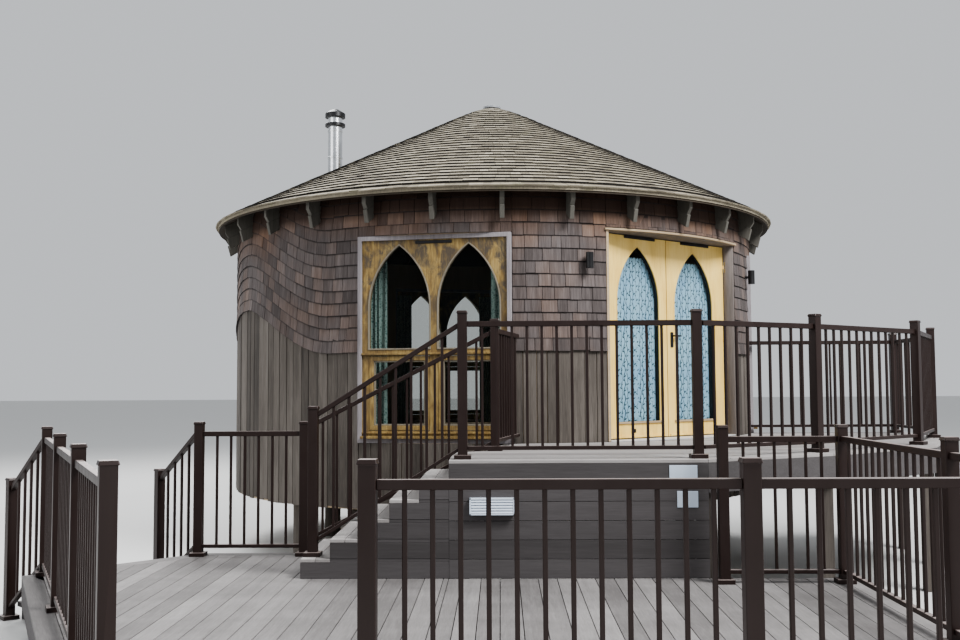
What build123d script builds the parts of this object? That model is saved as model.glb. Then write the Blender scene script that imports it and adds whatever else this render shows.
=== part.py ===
"""Round timber cabin on stilts with a conical shingle roof, two timber decks and metal railings.

Millimetres, +Z up. The origin is on the ground under the middle of the cabin, and the decks
lie on the -Y side, which is the front. An angle round the cabin is measured from the front
towards +X.
"""
from build123d import *
from math import atan2, ceil, cos, degrees, hypot, radians, sin, sqrt, tan
import os

os.makedirs("parts", exist_ok=True)

# Levels
RISER = 150
STAIR_RISERS = 6
GARDEN_RISERS = 3
LOWER_Z = GARDEN_RISERS * RISER
UPPER_Z = LOWER_Z + STAIR_RISERS * RISER
ON_BASE = (Align.CENTER, Align.CENTER, Align.MIN)

# Cabin walls
WALL_R = 3250
WALL_T = 180
SKIRT_Z = 670
RING_BEAM_H = 300
HEAD_GAP = 10
FIT = 0.3

# Cabin floor and what carries it
FLOOR_T = 30
FLOOR_JOIST = (75, 200)
FLOOR_JOIST_PITCH = 600
BEARER = (100, 220)
BEARER_PITCH = 2100
CABIN_POST_D = 200

# Openings in the wall
WINDOW_ANGLES = (-10.5, 83, 195)
WINDOW_W = 1606
WINDOW_H = 2115
WINDOW_SETBACK = 38
SURROUND_T = 45
WINDOW_FRAME_T = 70
WINDOW_STILE = 72
WINDOW_MULLION = 84
TRANSOM_H = 70
TRANSOM_Z = 885
WINDOW_SILL = 125
WINDOW_HEAD = 50
WINDOW_ARCH_RISE = 640
GLASS_T = 24

# Doors
DOOR_ANGLE = 40.5
DOOR_SETBACK = 260
DOOR_SHIFT = -48
LEAF_W = 985
LEAF_H = 2130
LEAF_T = 58
LEAF_LIFT = 20
MEETING_GAP = 10
REVEAL_PROUD = 15
DOOR_SURROUND_T = 30
STOP_W = 30
STOP_D = 45
RUNNING_GAP = 6
LIGHT_W = 662
MEETING_STILE = 120
LIGHT_SILL = 166
LIGHT_SPRING = 1424
LIGHT_APEX = 2029
THRESHOLD_H = 12
KNUCKLE_R = 7
PIN_R = 4
PIN_CLEARANCE = 0.3
KNUCKLE_H = 40
HINGE_HEIGHTS = (230, 1065, 1900)
HINGE_PLATE_T = 3
HINGE_PLATE_W = 32
LEVER_Z = 1087
LEVER_INSET = 70
LEVER_LENGTH = 112
LEVER_D = 18
LEVER_REACH = 56
SPINDLE_R = 9
LEVER_PLATE = (42, 165, 9)
CURTAIN_T = 26
CURTAIN_MARGIN = 12
CURTAIN_TOP = 1915
CURTAIN_BOTTOM = 140

# Roof
ROOF_SLOPE = 26.5
EAVE_OVERHANG = 250
SEAT_CUT = 37
ROOF_T = 45
RAFTERS = 30
RAFTER_PHASE = 2
RAFTER_W = 45
RAFTER_D = 145
TAIL_BACK = 60
TAIL_DROP = 40
CROWN_R = 270
CROWN_T = 60
CAP_R = 120
CAP_H = 16
FLUE_AT = (-2145, 378)
FLUE_D = 193
FLUE_TOP = 5600
COWL_D = 273
FLUE_STUB = 150
EAVES_BLOCK_T = 50

# Decks
BOARD_T = 25
JOIST = (50, 145)
JOIST_PITCH = 450
FASCIA_T = 20
UPPER_FASCIA_H = 230
LOWER_FASCIA_H = 190
DECK_EDGE = 160
DECK_CABIN_GAP = 45
PIER = 100
GOING = 229
GARDEN_GOING = 280
GARDEN_TREAD_T = 40
TREAD_T = 25
STAIR_SIDE_T = 25

# Railings
POST = 76
POST_H = 1150
CAP_W = 90
CAP_T = 20
FOOT_W = 132
FOOT_H = 32
RAIL_W = 44
RAIL_H = 43
RAIL_TOP = 1085
LOW_RAIL_H = 30
LOW_RAIL_Z = 70
BALUSTER = 21
BALUSTER_PITCH = 119
STAIR_RAIL_LIFT = 20
STAIR_FAR_LIFT = 36
LANDING_LIFT = 10
GARDEN_RAIL_LIFT = 25

# Small fittings
LIGHT_ANGLES = (17.4, 66)
LAMP_D = 76
LAMP_H = 160
LAMP_Z = 3185
LAMP_ARM = 60
LAMP_PLATE_T = 16
VENT_BOX = (346, 45, 130)
VENT_BOX_X = 20
VENT_BOX_Z = 1000

# Post places on the upper deck, in order round it, and on the lower deck
STAIR_TOP_POST = (-210, -5440)
UPPER_CORNERS = [(1640, -5440), (2770, -4770), (4020, -3740), (4690, -2440), (4730, -1250)]
STAIR_FAR_POST = (40, -4400)
STAIR_FOOT_POST = (-1390, -5440)
LOWER_NEAR = [(-467, -9340), (1126, -9340), (2640, -9340)]
LOWER_RIGHT = [(2640, -7700), (2640, -5800), (1750, -5800)]
LOWER_LEFT = [(-1560, -9340), (-2213, -8033), (-2867, -6727), (-3520, -5420)]
LOWER_BACK = [(-2570, -4480), (-1640, -4480)]
FRONT_Y = STAIR_TOP_POST[1] - DECK_EDGE
DECK_BACK_Y = STAIR_FAR_POST[1] + 70
STAIR_BACK_Y = LOWER_BACK[-1][1] - 30
STAIR_TOP_X = -314

# Worked out from the sizes above
WALL_IN = WALL_R - WALL_T
WINDOW_PLANE = WALL_R - WINDOW_SETBACK
DOOR_PLANE = WALL_R - DOOR_SETBACK
EAVE_R = WALL_R + EAVE_OVERHANG
LEAF_BOTTOM = UPPER_Z + LEAF_LIFT
LEAF_TOP = LEAF_BOTTOM + LEAF_H
HINGE_OFFSET = KNUCKLE_R + FIT
JAMB_FACE = HINGE_OFFSET + KNUCKLE_R + FIT
LEAF_OUTER_U = MEETING_GAP / 2 + LEAF_W
LEVER_U = MEETING_GAP / 2 + LEVER_INSET
REVEAL_U = LEAF_OUTER_U + JAMB_FACE - KNUCKLE_R + FIT
DOOR_OPENING_W = 2 * (REVEAL_U + DOOR_SURROUND_T)
DOOR_HEAD_Z = LEAF_TOP + HEAD_GAP
WALL_HEAD_Z = DOOR_HEAD_Z + DOOR_SURROUND_T
PLATE_TOP = WALL_HEAD_Z + RING_BEAM_H
WINDOW_TOP = UPPER_Z + WINDOW_H
SLOPE = tan(radians(ROOF_SLOPE))
RAFTER_V = RAFTER_D / cos(radians(ROOF_SLOPE))
ROOF_V = ROOF_T / cos(radians(ROOF_SLOPE))
EAVE_Z = PLATE_TOP + RAFTER_V - SEAT_CUT - (EAVE_R - WALL_R) * SLOPE
TAIL_R = EAVE_R - TAIL_BACK
LIGHT_MIDDLE = MEETING_GAP / 2 + MEETING_STILE + LIGHT_W / 2


def roof_under(r):
    """Height of the roof's underside at a distance from the cabin's axis."""
    return EAVE_Z + (EAVE_R - r) * SLOPE


def rafter_top(r):
    """Height of a rafter's flat top, a hair below the cone that it carries."""
    return roof_under(r) - 2 * FIT


def around(r, angle, z=0.0):
    """A point at a distance and an angle round the cabin."""
    a = radians(angle)
    return Vector(r * sin(a), -r * cos(a), z)


def facet(angle, distance, z=0.0):
    """A vertical plane facing outwards: local x runs round the wall, local y is up."""
    a = radians(angle)
    return Plane(around(distance, angle, z), x_dir=(cos(a), sin(a), 0), z_dir=(sin(a), -cos(a), 0))


def door_face(distance, z=0.0):
    """An upright plane across the doorway, its origin where the two leaves meet."""
    plane = facet(DOOR_ANGLE, distance, z)
    middle = plane.from_local_coords(Vector(DOOR_SHIFT, 0, 0))
    return Plane(middle, x_dir=plane.x_dir, z_dir=plane.z_dir)


def finish(piece, label):
    """Names a finished piece and writes it."""
    piece.part.label = label
    export_step(piece.part, f"parts/{label}.step")


def arch_radius(width, rise):
    """Radius of each side of a pointed arch."""
    half = width / 2
    return (rise * rise + half * half) / width


def pointed_light(width, sill, spring, apex, grow=0.0, x=0.0):
    """Draws a pointed light in the sketch that is open, middle at x, heights from the sketch origin."""
    half = width / 2 + grow
    radius = arch_radius(width, apex - spring) + grow
    top = spring + sqrt(radius * radius - (radius - half) ** 2)
    with BuildLine() as outline:
        Polyline((x - half, spring), (x - half, sill - grow), (x + half, sill - grow), (x + half, spring))
        RadiusArc((x + half, spring), (x, top), -radius)
        RadiusArc((x, top), (x - half, spring), -radius)
    make_face(outline.edges())


def wall_slice(start, end):
    """Draws the wall's plan between two angles in the sketch that is open, less every opening."""
    Circle(WALL_R)
    Circle(WALL_IN, mode=Mode.SUBTRACT)
    reach = 2 * WALL_R
    middle = (start + end) / 2
    corners = [around(reach, a) for a in (start, middle, end)]
    with BuildLine() as wedge:
        Polyline((0, 0), *[(c.X, c.Y) for c in corners], close=True)
    make_face(wedge.edges(), mode=Mode.INTERSECT)
    for angle in WINDOW_ANGLES:
        opening_plan(angle, WINDOW_W, Mode.SUBTRACT)
    opening_plan(DOOR_ANGLE, DOOR_OPENING_W, Mode.SUBTRACT, DOOR_SHIFT)


def opening_plan(angle, width, mode, shift=0.0):
    """Draws the plan of an opening's width through the wall in the sketch that is open."""
    middle = facet(angle, WALL_R).from_local_coords(Vector(shift, 0, 0))
    with Locations(Location((middle.X, middle.Y), angle)):
        Rectangle(width, 2 * WALL_T + WALL_R / 4, mode=mode)


# Posts, bearers and joists under the cabin
BEARER_TOP = UPPER_Z - FLOOR_T - FLOOR_JOIST[1]
POST_TOP = BEARER_TOP - BEARER[1]
CARRY_R = WALL_IN - FIT

with BuildPart() as cabin_posts:
    with BuildSketch():
        with GridLocations(BEARER_PITCH, BEARER_PITCH, 3, 3):
            Circle(CABIN_POST_D / 2)
    extrude(amount=POST_TOP)
finish(cabin_posts, "cabin_posts")

with BuildPart() as floor_bearers:
    with BuildSketch(Plane.XY.offset(POST_TOP)):
        with GridLocations(BEARER_PITCH, 0, 3, 1):
            Rectangle(BEARER[0], 2 * WALL_R)
        Circle(CARRY_R, mode=Mode.INTERSECT)
    extrude(amount=BEARER[1])
finish(floor_bearers, "floor_bearers")

joist_count = 2 * int(CARRY_R / FLOOR_JOIST_PITCH) + 1
with BuildPart() as floor_joists:
    with BuildSketch(Plane.XY.offset(BEARER_TOP)):
        with GridLocations(0, FLOOR_JOIST_PITCH, 1, joist_count):
            Rectangle(2 * WALL_R, FLOOR_JOIST[0])
        Circle(CARRY_R, mode=Mode.INTERSECT)
    extrude(amount=FLOOR_JOIST[1])
finish(floor_joists, "floor_joists")

with BuildPart() as floor:
    with BuildSketch(Plane.XY.offset(UPPER_Z - FLOOR_T)):
        Circle(CARRY_R)
    extrude(amount=FLOOR_T)
finish(floor, "floor")

# Round wall in segments, from the skirt's hem to the ring beam
BACK_SPLIT = (WINDOW_ANGLES[1] + WINDOW_ANGLES[2]) / 2
LEFT_SPLIT = (WINDOW_ANGLES[2] + WINDOW_ANGLES[0] + 360) / 2
WALLS = {
    "front_wall": (WINDOW_ANGLES[0], DOOR_ANGLE),
    "right_wall": (DOOR_ANGLE, WINDOW_ANGLES[1]),
    "back_right_wall": (WINDOW_ANGLES[1], BACK_SPLIT),
    "back_wall": (BACK_SPLIT, WINDOW_ANGLES[2]),
    "left_back_wall": (WINDOW_ANGLES[2], LEFT_SPLIT),
    "left_front_wall": (LEFT_SPLIT, WINDOW_ANGLES[0] + 360),
}
for label, (start, end) in WALLS.items():
    with BuildPart() as wall:
        with BuildSketch(Plane.XY.offset(SKIRT_Z)):
            wall_slice(start, end)
        extrude(amount=WALL_HEAD_Z - SKIRT_Z)
    finish(wall, label)

with BuildPart() as wall_infills:
    with BuildSketch(Plane.XY.offset(SKIRT_Z)):
        for angle in WINDOW_ANGLES:
            opening_plan(angle, WINDOW_W, Mode.ADD)
        opening_plan(DOOR_ANGLE, DOOR_OPENING_W, Mode.ADD, DOOR_SHIFT)
        Circle(WALL_R, mode=Mode.INTERSECT)
        Circle(WALL_IN, mode=Mode.SUBTRACT)
    extrude(amount=UPPER_Z - SKIRT_Z)
    with BuildSketch(Plane.XY.offset(WINDOW_TOP)):
        for angle in WINDOW_ANGLES:
            opening_plan(angle, WINDOW_W, Mode.ADD)
        Circle(WALL_R, mode=Mode.INTERSECT)
        Circle(WALL_IN, mode=Mode.SUBTRACT)
    extrude(amount=WALL_HEAD_Z - WINDOW_TOP)
finish(wall_infills, "wall_infills")

with BuildPart() as ring_beam:
    with BuildSketch(Plane.XY.offset(WALL_HEAD_Z)):
        Circle(WALL_R)
        Circle(WALL_IN, mode=Mode.SUBTRACT)
    extrude(amount=RING_BEAM_H)
finish(ring_beam, "ring_beam")

# Roof: rafters seated on the ring beam, crown ring, shell and cap
SEAT_R = EAVE_R - (PLATE_TOP + RAFTER_V + 2 * FIT - EAVE_Z) / SLOPE
STEP = 360 / RAFTERS
rafter_angles = [RAFTER_PHASE + k * STEP for k in range(RAFTERS)]
with BuildPart() as rafters:
    for angle in rafter_angles:
        a = radians(angle)
        upright = Plane((0, 0, 0), x_dir=(sin(a), -cos(a), 0), z_dir=(-cos(a), -sin(a), 0))
        with BuildSketch(upright):
            with BuildLine():
                Polyline(
                    (CROWN_R, rafter_top(CROWN_R)),
                    (CROWN_R, rafter_top(CROWN_R) - RAFTER_V),
                    (SEAT_R, PLATE_TOP),
                    (WALL_R, PLATE_TOP),
                    (WALL_R, rafter_top(WALL_R) - RAFTER_V),
                    (TAIL_R - TAIL_DROP, rafter_top(TAIL_R - TAIL_DROP) - RAFTER_V),
                    (TAIL_R, rafter_top(TAIL_R) - RAFTER_V / 2),
                    (TAIL_R, rafter_top(TAIL_R)),
                    close=True,
                )
            make_face()
        extrude(amount=RAFTER_W / 2, both=True)
finish(rafters, "rafters")

with BuildPart() as crown_ring:
    with BuildSketch(Plane.XZ):
        with BuildLine():
            inner = CROWN_R - CROWN_T
            Polyline(
                (CROWN_R - FIT, rafter_top(CROWN_R)),
                (CROWN_R - FIT, rafter_top(CROWN_R) - RAFTER_V),
                (inner, rafter_top(CROWN_R) - RAFTER_V),
                (inner, rafter_top(inner)),
                close=True,
            )
        make_face()
    revolve(axis=Axis.Z)
finish(crown_ring, "crown_ring")

with BuildPart() as eaves_blocks:
    with BuildSketch(Plane.XZ):
        with BuildLine():
            inner = WALL_R - EAVES_BLOCK_T
            Polyline(
                (inner, PLATE_TOP),
                (WALL_R, PLATE_TOP),
                (WALL_R, roof_under(WALL_R)),
                (inner, roof_under(inner)),
                close=True,
            )
        make_face()
    revolve(axis=Axis.Z)
    for angle in rafter_angles:
        with Locations(Location(around(WALL_R, angle, PLATE_TOP), (0, 0, angle))):
            Box(RAFTER_W, 4 * EAVES_BLOCK_T, 4 * RAFTER_D, mode=Mode.SUBTRACT)
finish(eaves_blocks, "eaves_blocks")

flue_base = roof_under(hypot(*FLUE_AT)) - FLUE_STUB
with BuildPart() as roof:
    with BuildSketch(Plane.XZ):
        with BuildLine():
            Polyline(
                (0, roof_under(0)),
                (EAVE_R, EAVE_Z),
                (EAVE_R, EAVE_Z + ROOF_V),
                (0, roof_under(0) + ROOF_V),
                close=True,
            )
        make_face()
    revolve(axis=Axis.Z)
    with Locations((*FLUE_AT, flue_base)):
        Cylinder(FLUE_D / 2 + FIT, FLUE_TOP, align=ON_BASE, mode=Mode.SUBTRACT)
finish(roof, "roof")

cap_z = roof_under(CAP_R) + ROOF_V
apex_z = roof_under(0) + ROOF_V
with BuildPart() as roof_cap:
    with BuildSketch(Plane.XZ):
        with BuildLine():
            Polyline(
                (0, apex_z),
                (CAP_R, cap_z),
                (CAP_R, cap_z + CAP_H / 2),
                (CAP_R / 2, (cap_z + apex_z) / 2 + CAP_H),
                (0, apex_z + CAP_H),
                close=True,
            )
        make_face()
    revolve(axis=Axis.Z)
finish(roof_cap, "roof_cap")

# Flue pipe with its two-brimmed cowl, and the flashing cone at its foot
cowl_h = 110
brim_t = 12
with BuildPart() as flue:
    with Locations((*FLUE_AT, flue_base)):
        Cylinder(FLUE_D / 2, FLUE_TOP - flue_base, align=ON_BASE)
    for z in (FLUE_TOP - cowl_h, FLUE_TOP):
        with Locations((*FLUE_AT, z)):
            Cylinder(COWL_D / 2, brim_t, align=ON_BASE)
    with Locations((*FLUE_AT, FLUE_TOP + brim_t)):
        Cone(COWL_D / 2 - brim_t, COWL_D / 6, 3 * brim_t, align=ON_BASE)
finish(flue, "flue")

flash_r = FLUE_D
flash_top = roof_under(hypot(*FLUE_AT) - flash_r) + ROOF_V
with BuildPart() as flue_flashing:
    with Locations((*FLUE_AT, flue_base)):
        Cone(flash_r, FLUE_D / 2 + brim_t, flash_top + brim_t - flue_base, align=ON_BASE)
        Cylinder(FLUE_D / 2 + FIT, FLUE_TOP, align=ON_BASE, mode=Mode.SUBTRACT)
    with BuildSketch(Plane.XZ):
        with BuildLine():
            Polyline((0, 0), (EAVE_R, 0), (EAVE_R, EAVE_Z + ROOF_V), (0, apex_z), close=True)
        make_face()
    revolve(axis=Axis.Z, mode=Mode.SUBTRACT)
finish(flue_flashing, "flue_flashing")

# Windows: a boarded surround, a frame with two pointed lights over two square ones, and glass
window_depth = WINDOW_PLANE - WALL_IN + 60
light_w = (WINDOW_W - 2 * SURROUND_T - 2 * WINDOW_STILE - WINDOW_MULLION) / 2
light_x = (light_w + WINDOW_MULLION) / 2
window_apex = WINDOW_H - SURROUND_T - WINDOW_HEAD
window_spring = window_apex - WINDOW_ARCH_RISE
frame_setback = 25

with BuildPart() as window_surrounds:
    for angle in WINDOW_ANGLES:
        with BuildSketch(facet(angle, WINDOW_PLANE, UPPER_Z)):
            with Locations((0, WINDOW_H / 2)):
                Rectangle(WINDOW_W, WINDOW_H)
                Rectangle(WINDOW_W - 2 * SURROUND_T, WINDOW_H - 2 * SURROUND_T, mode=Mode.SUBTRACT)
        extrude(amount=-window_depth)
finish(window_surrounds, "window_surrounds")


def window_lights(grow):
    """Draws the four lights of a window in the sketch that is open."""
    for x in (-light_x, light_x):
        pointed_light(light_w, TRANSOM_Z + TRANSOM_H, window_spring, window_apex, grow, x)
        with Locations((x, (WINDOW_SILL + TRANSOM_Z) / 2)):
            Rectangle(light_w + 2 * grow, TRANSOM_Z - WINDOW_SILL + 2 * grow)


with BuildPart() as window_frames:
    for angle in WINDOW_ANGLES:
        with BuildSketch(facet(angle, WINDOW_PLANE - frame_setback, UPPER_Z)):
            with Locations((0, WINDOW_H / 2)):
                Rectangle(WINDOW_W - 2 * SURROUND_T, WINDOW_H - 2 * SURROUND_T)
            with BuildSketch(mode=Mode.PRIVATE) as lights:
                window_lights(0)
            add(lights.sketch, mode=Mode.SUBTRACT)
        extrude(amount=-WINDOW_FRAME_T)
finish(window_frames, "window_frames")

with BuildPart() as window_glass:
    for angle in WINDOW_ANGLES:
        glass_plane = WINDOW_PLANE - frame_setback - (WINDOW_FRAME_T - GLASS_T) / 2
        with BuildSketch(facet(angle, glass_plane, UPPER_Z)):
            window_lights(-FIT)
        extrude(amount=-GLASS_T)
finish(window_glass, "window_glass")

# Gathered curtains at the sides of each window
curtain_w = 230
with BuildPart() as window_curtains:
    inner_face = WINDOW_PLANE - window_depth - FIT
    for angle in WINDOW_ANGLES:
        with BuildSketch(facet(angle, inner_face, UPPER_Z + FIT)):
            for side in (-1, 1):
                with Locations((side * (WINDOW_W - SURROUND_T - curtain_w) / 2, window_apex / 2)):
                    Rectangle(curtain_w, window_apex)
        extrude(amount=-2 * CURTAIN_T)
finish(window_curtains, "window_curtains")

# Door surround: a deep reveal with a projecting head, stops behind the leaves, and a threshold
reveal_h = DOOR_HEAD_Z - UPPER_Z
reveal = WALL_R + REVEAL_PROUD - DOOR_PLANE
with BuildPart() as door_surround:
    with BuildSketch(door_face(DOOR_PLANE + reveal, UPPER_Z)):
        with Locations((0, (reveal_h + DOOR_SURROUND_T) / 2)):
            Rectangle(DOOR_OPENING_W, reveal_h + DOOR_SURROUND_T)
        with Locations((0, reveal_h / 2)):
            Rectangle(2 * REVEAL_U, reveal_h, mode=Mode.SUBTRACT)
    extrude(amount=-(reveal + LEAF_T + RUNNING_GAP + STOP_D))
    with BuildSketch(Plane.XY.offset(UPPER_Z)):
        Circle(WALL_R + REVEAL_PROUD)
    extrude(amount=WALL_R, mode=Mode.INTERSECT)
finish(door_surround, "door_surround")

with BuildPart() as door_stops:
    with BuildSketch(door_face(DOOR_PLANE - LEAF_T - RUNNING_GAP, UPPER_Z)):
        with Locations((0, reveal_h / 2)):
            Rectangle(2 * REVEAL_U, reveal_h)
        with Locations((0, (reveal_h - STOP_W) / 2)):
            Rectangle(2 * (REVEAL_U - STOP_W), reveal_h - STOP_W, mode=Mode.SUBTRACT)
    extrude(amount=-STOP_D)
finish(door_stops, "door_stops")

with BuildPart() as door_threshold:
    with BuildSketch(door_face(DOOR_PLANE + reveal, UPPER_Z)):
        with Locations((0, THRESHOLD_H / 2)):
            Rectangle(2 * (REVEAL_U - FIT), THRESHOLD_H)
    extrude(amount=-(reveal + LEAF_T))
    with BuildSketch(Plane.XY.offset(UPPER_Z)):
        Circle(WALL_R + REVEAL_PROUD)
    extrude(amount=WALL_R, mode=Mode.INTERSECT)
finish(door_threshold, "door_threshold")

# Door leaves: the same drawing on each side, with knuckles at the outer edge
pin_plane = door_face(DOOR_PLANE)


def pin_point(side, height):
    """A point on a hinge axis, at a height above the leaf's foot."""
    u = side * (LEAF_OUTER_U + HINGE_OFFSET - KNUCKLE_R + FIT)
    return pin_plane.from_local_coords(Vector(u, LEAF_BOTTOM + height, HINGE_OFFSET))


for side, label in ((-1, "door_leaf_left"), (1, "door_leaf_right")):
    middle = side * (MEETING_GAP + LEAF_W) / 2
    with BuildPart() as leaf:
        with BuildSketch(door_face(DOOR_PLANE, LEAF_BOTTOM)):
            with Locations((middle, LEAF_H / 2)):
                Rectangle(LEAF_W, LEAF_H)
        extrude(amount=-LEAF_T)
        with BuildSketch(door_face(DOOR_PLANE, LEAF_BOTTOM)):
            pointed_light(LIGHT_W, LIGHT_SILL, LIGHT_SPRING, LIGHT_APEX, 0, side * LIGHT_MIDDLE)
        extrude(amount=-LEAF_T, mode=Mode.SUBTRACT)
        for height in HINGE_HEIGHTS:
            with BuildSketch(door_face(DOOR_PLANE, LEAF_BOTTOM + height)):
                with Locations((side * (LEAF_OUTER_U - HINGE_PLATE_W / 2 + 2), 0)):
                    Rectangle(HINGE_PLATE_W + 4, KNUCKLE_H)
            extrude(amount=HINGE_PLATE_T)
            with Locations(pin_point(side, height)):
                Cylinder(KNUCKLE_R, KNUCKLE_H)
        with Locations(pin_point(side, LEAF_H / 2)):
            Cylinder(PIN_R + PIN_CLEARANCE, LEAF_H, mode=Mode.SUBTRACT)
        if side == 1:
            with BuildSketch(door_face(DOOR_PLANE, LEAF_BOTTOM + LEVER_Z)):
                with Locations((LEVER_U, 0)):
                    Circle(SPINDLE_R + PIN_CLEARANCE)
            extrude(amount=-LEAF_T, mode=Mode.SUBTRACT)
    finish(leaf, label)

    with BuildPart() as glass:
        with BuildSketch(door_face(DOOR_PLANE - (LEAF_T - GLASS_T) / 2, LEAF_BOTTOM)):
            pointed_light(LIGHT_W, LIGHT_SILL, LIGHT_SPRING, LIGHT_APEX, -FIT, side * LIGHT_MIDDLE)
        extrude(amount=-GLASS_T)
    finish(glass, label.replace("leaf", "glass"))

    with BuildPart() as curtain:
        with BuildSketch(door_face(DOOR_PLANE - LEAF_T - FIT, LEAF_BOTTOM)):
            with Locations((side * LIGHT_MIDDLE, (CURTAIN_TOP + CURTAIN_BOTTOM) / 2)):
                Rectangle(LIGHT_W + 2 * CURTAIN_MARGIN, CURTAIN_TOP - CURTAIN_BOTTOM)
        extrude(amount=-CURTAIN_T)
    finish(curtain, label.replace("leaf", "curtain"))

# Fixed half of each hinge: a pin with a knuckle above and below the leaf's, on a plate on the reveal
with BuildPart() as hinge_pins:
    for side in (-1, 1):
        for height in HINGE_HEIGHTS:
            for up in (-1, 1):
                shift = up * (KNUCKLE_H + PIN_CLEARANCE)
                with Locations(pin_point(side, height + shift)):
                    Cylinder(KNUCKLE_R, KNUCKLE_H)
                plate_z = LEAF_BOTTOM + height + shift
                with BuildSketch(door_face(DOOR_PLANE, plate_z)):
                    with Locations((side * (REVEAL_U - HINGE_PLATE_T / 2), 0)):
                        Rectangle(HINGE_PLATE_T, KNUCKLE_H)
                extrude(amount=HINGE_PLATE_W)
            with Locations(pin_point(side, height)):
                Cylinder(PIN_R, 3 * KNUCKLE_H)
finish(hinge_pins, "hinge_pins")

# Lever set on the right leaf
plate_w, plate_h, plate_t = LEVER_PLATE
with BuildPart() as lever_plates:
    for face, way in ((DOOR_PLANE, 1), (DOOR_PLANE - LEAF_T, -1)):
        with BuildSketch(door_face(face, LEAF_BOTTOM + LEVER_Z)):
            with Locations((LEVER_U, -plate_h / 4)):
                RectangleRounded(plate_w, plate_h, plate_w / 4)
            with Locations((LEVER_U, 0)):
                Circle(SPINDLE_R + PIN_CLEARANCE, mode=Mode.SUBTRACT)
        extrude(amount=way * plate_t)
finish(lever_plates, "lever_plates")

with BuildPart() as door_lever:
    with BuildSketch(door_face(DOOR_PLANE + LEVER_REACH, LEAF_BOTTOM + LEVER_Z)):
        with Locations((LEVER_U, 0)):
            Circle(SPINDLE_R)
    extrude(amount=-(LEAF_T + 2 * LEVER_REACH))
    for face in (DOOR_PLANE + LEVER_REACH, DOOR_PLANE - LEAF_T - LEVER_REACH + LEVER_D):
        with BuildSketch(door_face(face, LEAF_BOTTOM + LEVER_Z)):
            with Locations((LEVER_U + LEVER_LENGTH / 2 - SPINDLE_R, 0)):
                SlotOverall(LEVER_LENGTH, LEVER_D)
        extrude(amount=-LEVER_D)
finish(door_lever, "door_lever")

# Cylinder lamps on short arms on the wall
with BuildPart() as wall_lights:
    for angle in LIGHT_ANGLES:
        with Locations(around(WALL_R + LAMP_ARM + LAMP_D / 2, angle, LAMP_Z)):
            Cylinder(LAMP_D / 2, LAMP_H)
        arm = around(WALL_R + LAMP_ARM / 2 + LAMP_D / 4 + FIT, angle, LAMP_Z)
        with Locations(Location(arm, (0, 0, angle))):
            Box(LAMP_D / 3, LAMP_ARM + LAMP_D / 2, LAMP_D / 3)
        plate = around(WALL_R + LAMP_PLATE_T / 2 + FIT, angle, LAMP_Z)
        with Locations(Location(plate, (0, 0, angle))):
            Box(LAMP_D, LAMP_PLATE_T, LAMP_D)
finish(wall_lights, "wall_lights")


def unit(a, b):
    """Unit direction and length from one plan point to another."""
    dx = b[0] - a[0]
    dy = b[1] - a[1]
    length = hypot(dx, dy)
    return (dx / length, dy / length), length


def offset_line(points, distance):
    """Corners of a plan line, open or closed, moved to its right by a distance and mitred."""
    moved = []
    last = len(points) - 1
    closed = points[0] == points[-1]
    for i, (x, y) in enumerate(points):
        arriving = i if i else (last if closed else 1)
        leaving = i if i < last else (0 if closed else last - 1)
        before, _ = unit(points[arriving - 1], points[arriving])
        after, _ = unit(points[leaving], points[leaving + 1])
        n1 = (before[1], -before[0])
        n2 = (after[1], -after[0])
        scale = distance / (1 + n1[0] * n2[0] + n1[1] * n2[1])
        moved.append((x + (n1[0] + n2[0]) * scale, y + (n1[1] + n2[1]) * scale))
    return moved


# Upper deck outline: along the front, round the posts, and back to the wall
upper_edge = offset_line([STAIR_TOP_POST] + UPPER_CORNERS, DECK_EDGE)
back_right = (upper_edge[-1][0], UPPER_CORNERS[-1][1] + DECK_EDGE)
front_left = (STAIR_TOP_X, FRONT_Y)
landing_left = (STAIR_TOP_X, STAIR_BACK_Y)
landing_in = (STAIR_FAR_POST[0] - DECK_EDGE / 2, STAIR_BACK_Y)
side_left = (landing_in[0], DECK_BACK_Y)
DECK_IN_R = WALL_R + DECK_CABIN_GAP
SIDE_ANGLE = 2.4
side_in = (around(DECK_IN_R, SIDE_ANGLE).X, around(DECK_IN_R, SIDE_ANGLE).Y)
upper_outline = [front_left] + upper_edge[1:] + [
    back_right,
    (side_in[0], back_right[1]),
    side_in,
    side_left,
    landing_in,
    landing_left,
]


def deck_plan(outline, shrink=0.0):
    """Draws a deck's plan in the sketch that is open."""
    with BuildLine() as edge:
        Polyline(*outline, close=True)
    make_face(edge.edges())
    if shrink:
        offset(amount=-shrink, kind=Kind.INTERSECTION)


with BuildPart() as upper_deck:
    with BuildSketch(Plane.XY.offset(UPPER_Z - BOARD_T)):
        deck_plan(upper_outline)
        Circle(DECK_IN_R, mode=Mode.SUBTRACT)
    extrude(amount=BOARD_T)
finish(upper_deck, "upper_deck")

frame_top = UPPER_Z - BOARD_T
frame_bottom = frame_top - JOIST[1]
RIM_IN = FASCIA_T + FIT
JOIST_IN = RIM_IN + JOIST[0] + FIT
rows = 2 * ceil(2 * EAVE_R / JOIST_PITCH) + 1
with BuildPart() as upper_joists:
    with BuildSketch(Plane.XY.offset(frame_bottom)):
        deck_plan(upper_outline, JOIST_IN)
        Circle(DECK_IN_R, mode=Mode.SUBTRACT)
        with BuildSketch(mode=Mode.PRIVATE) as strips:
            with GridLocations(0, JOIST_PITCH, 1, rows):
                Rectangle(6 * EAVE_R, JOIST[0])
        add(strips.sketch, mode=Mode.INTERSECT)
    extrude(amount=JOIST[1])
finish(upper_joists, "upper_joists")


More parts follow.
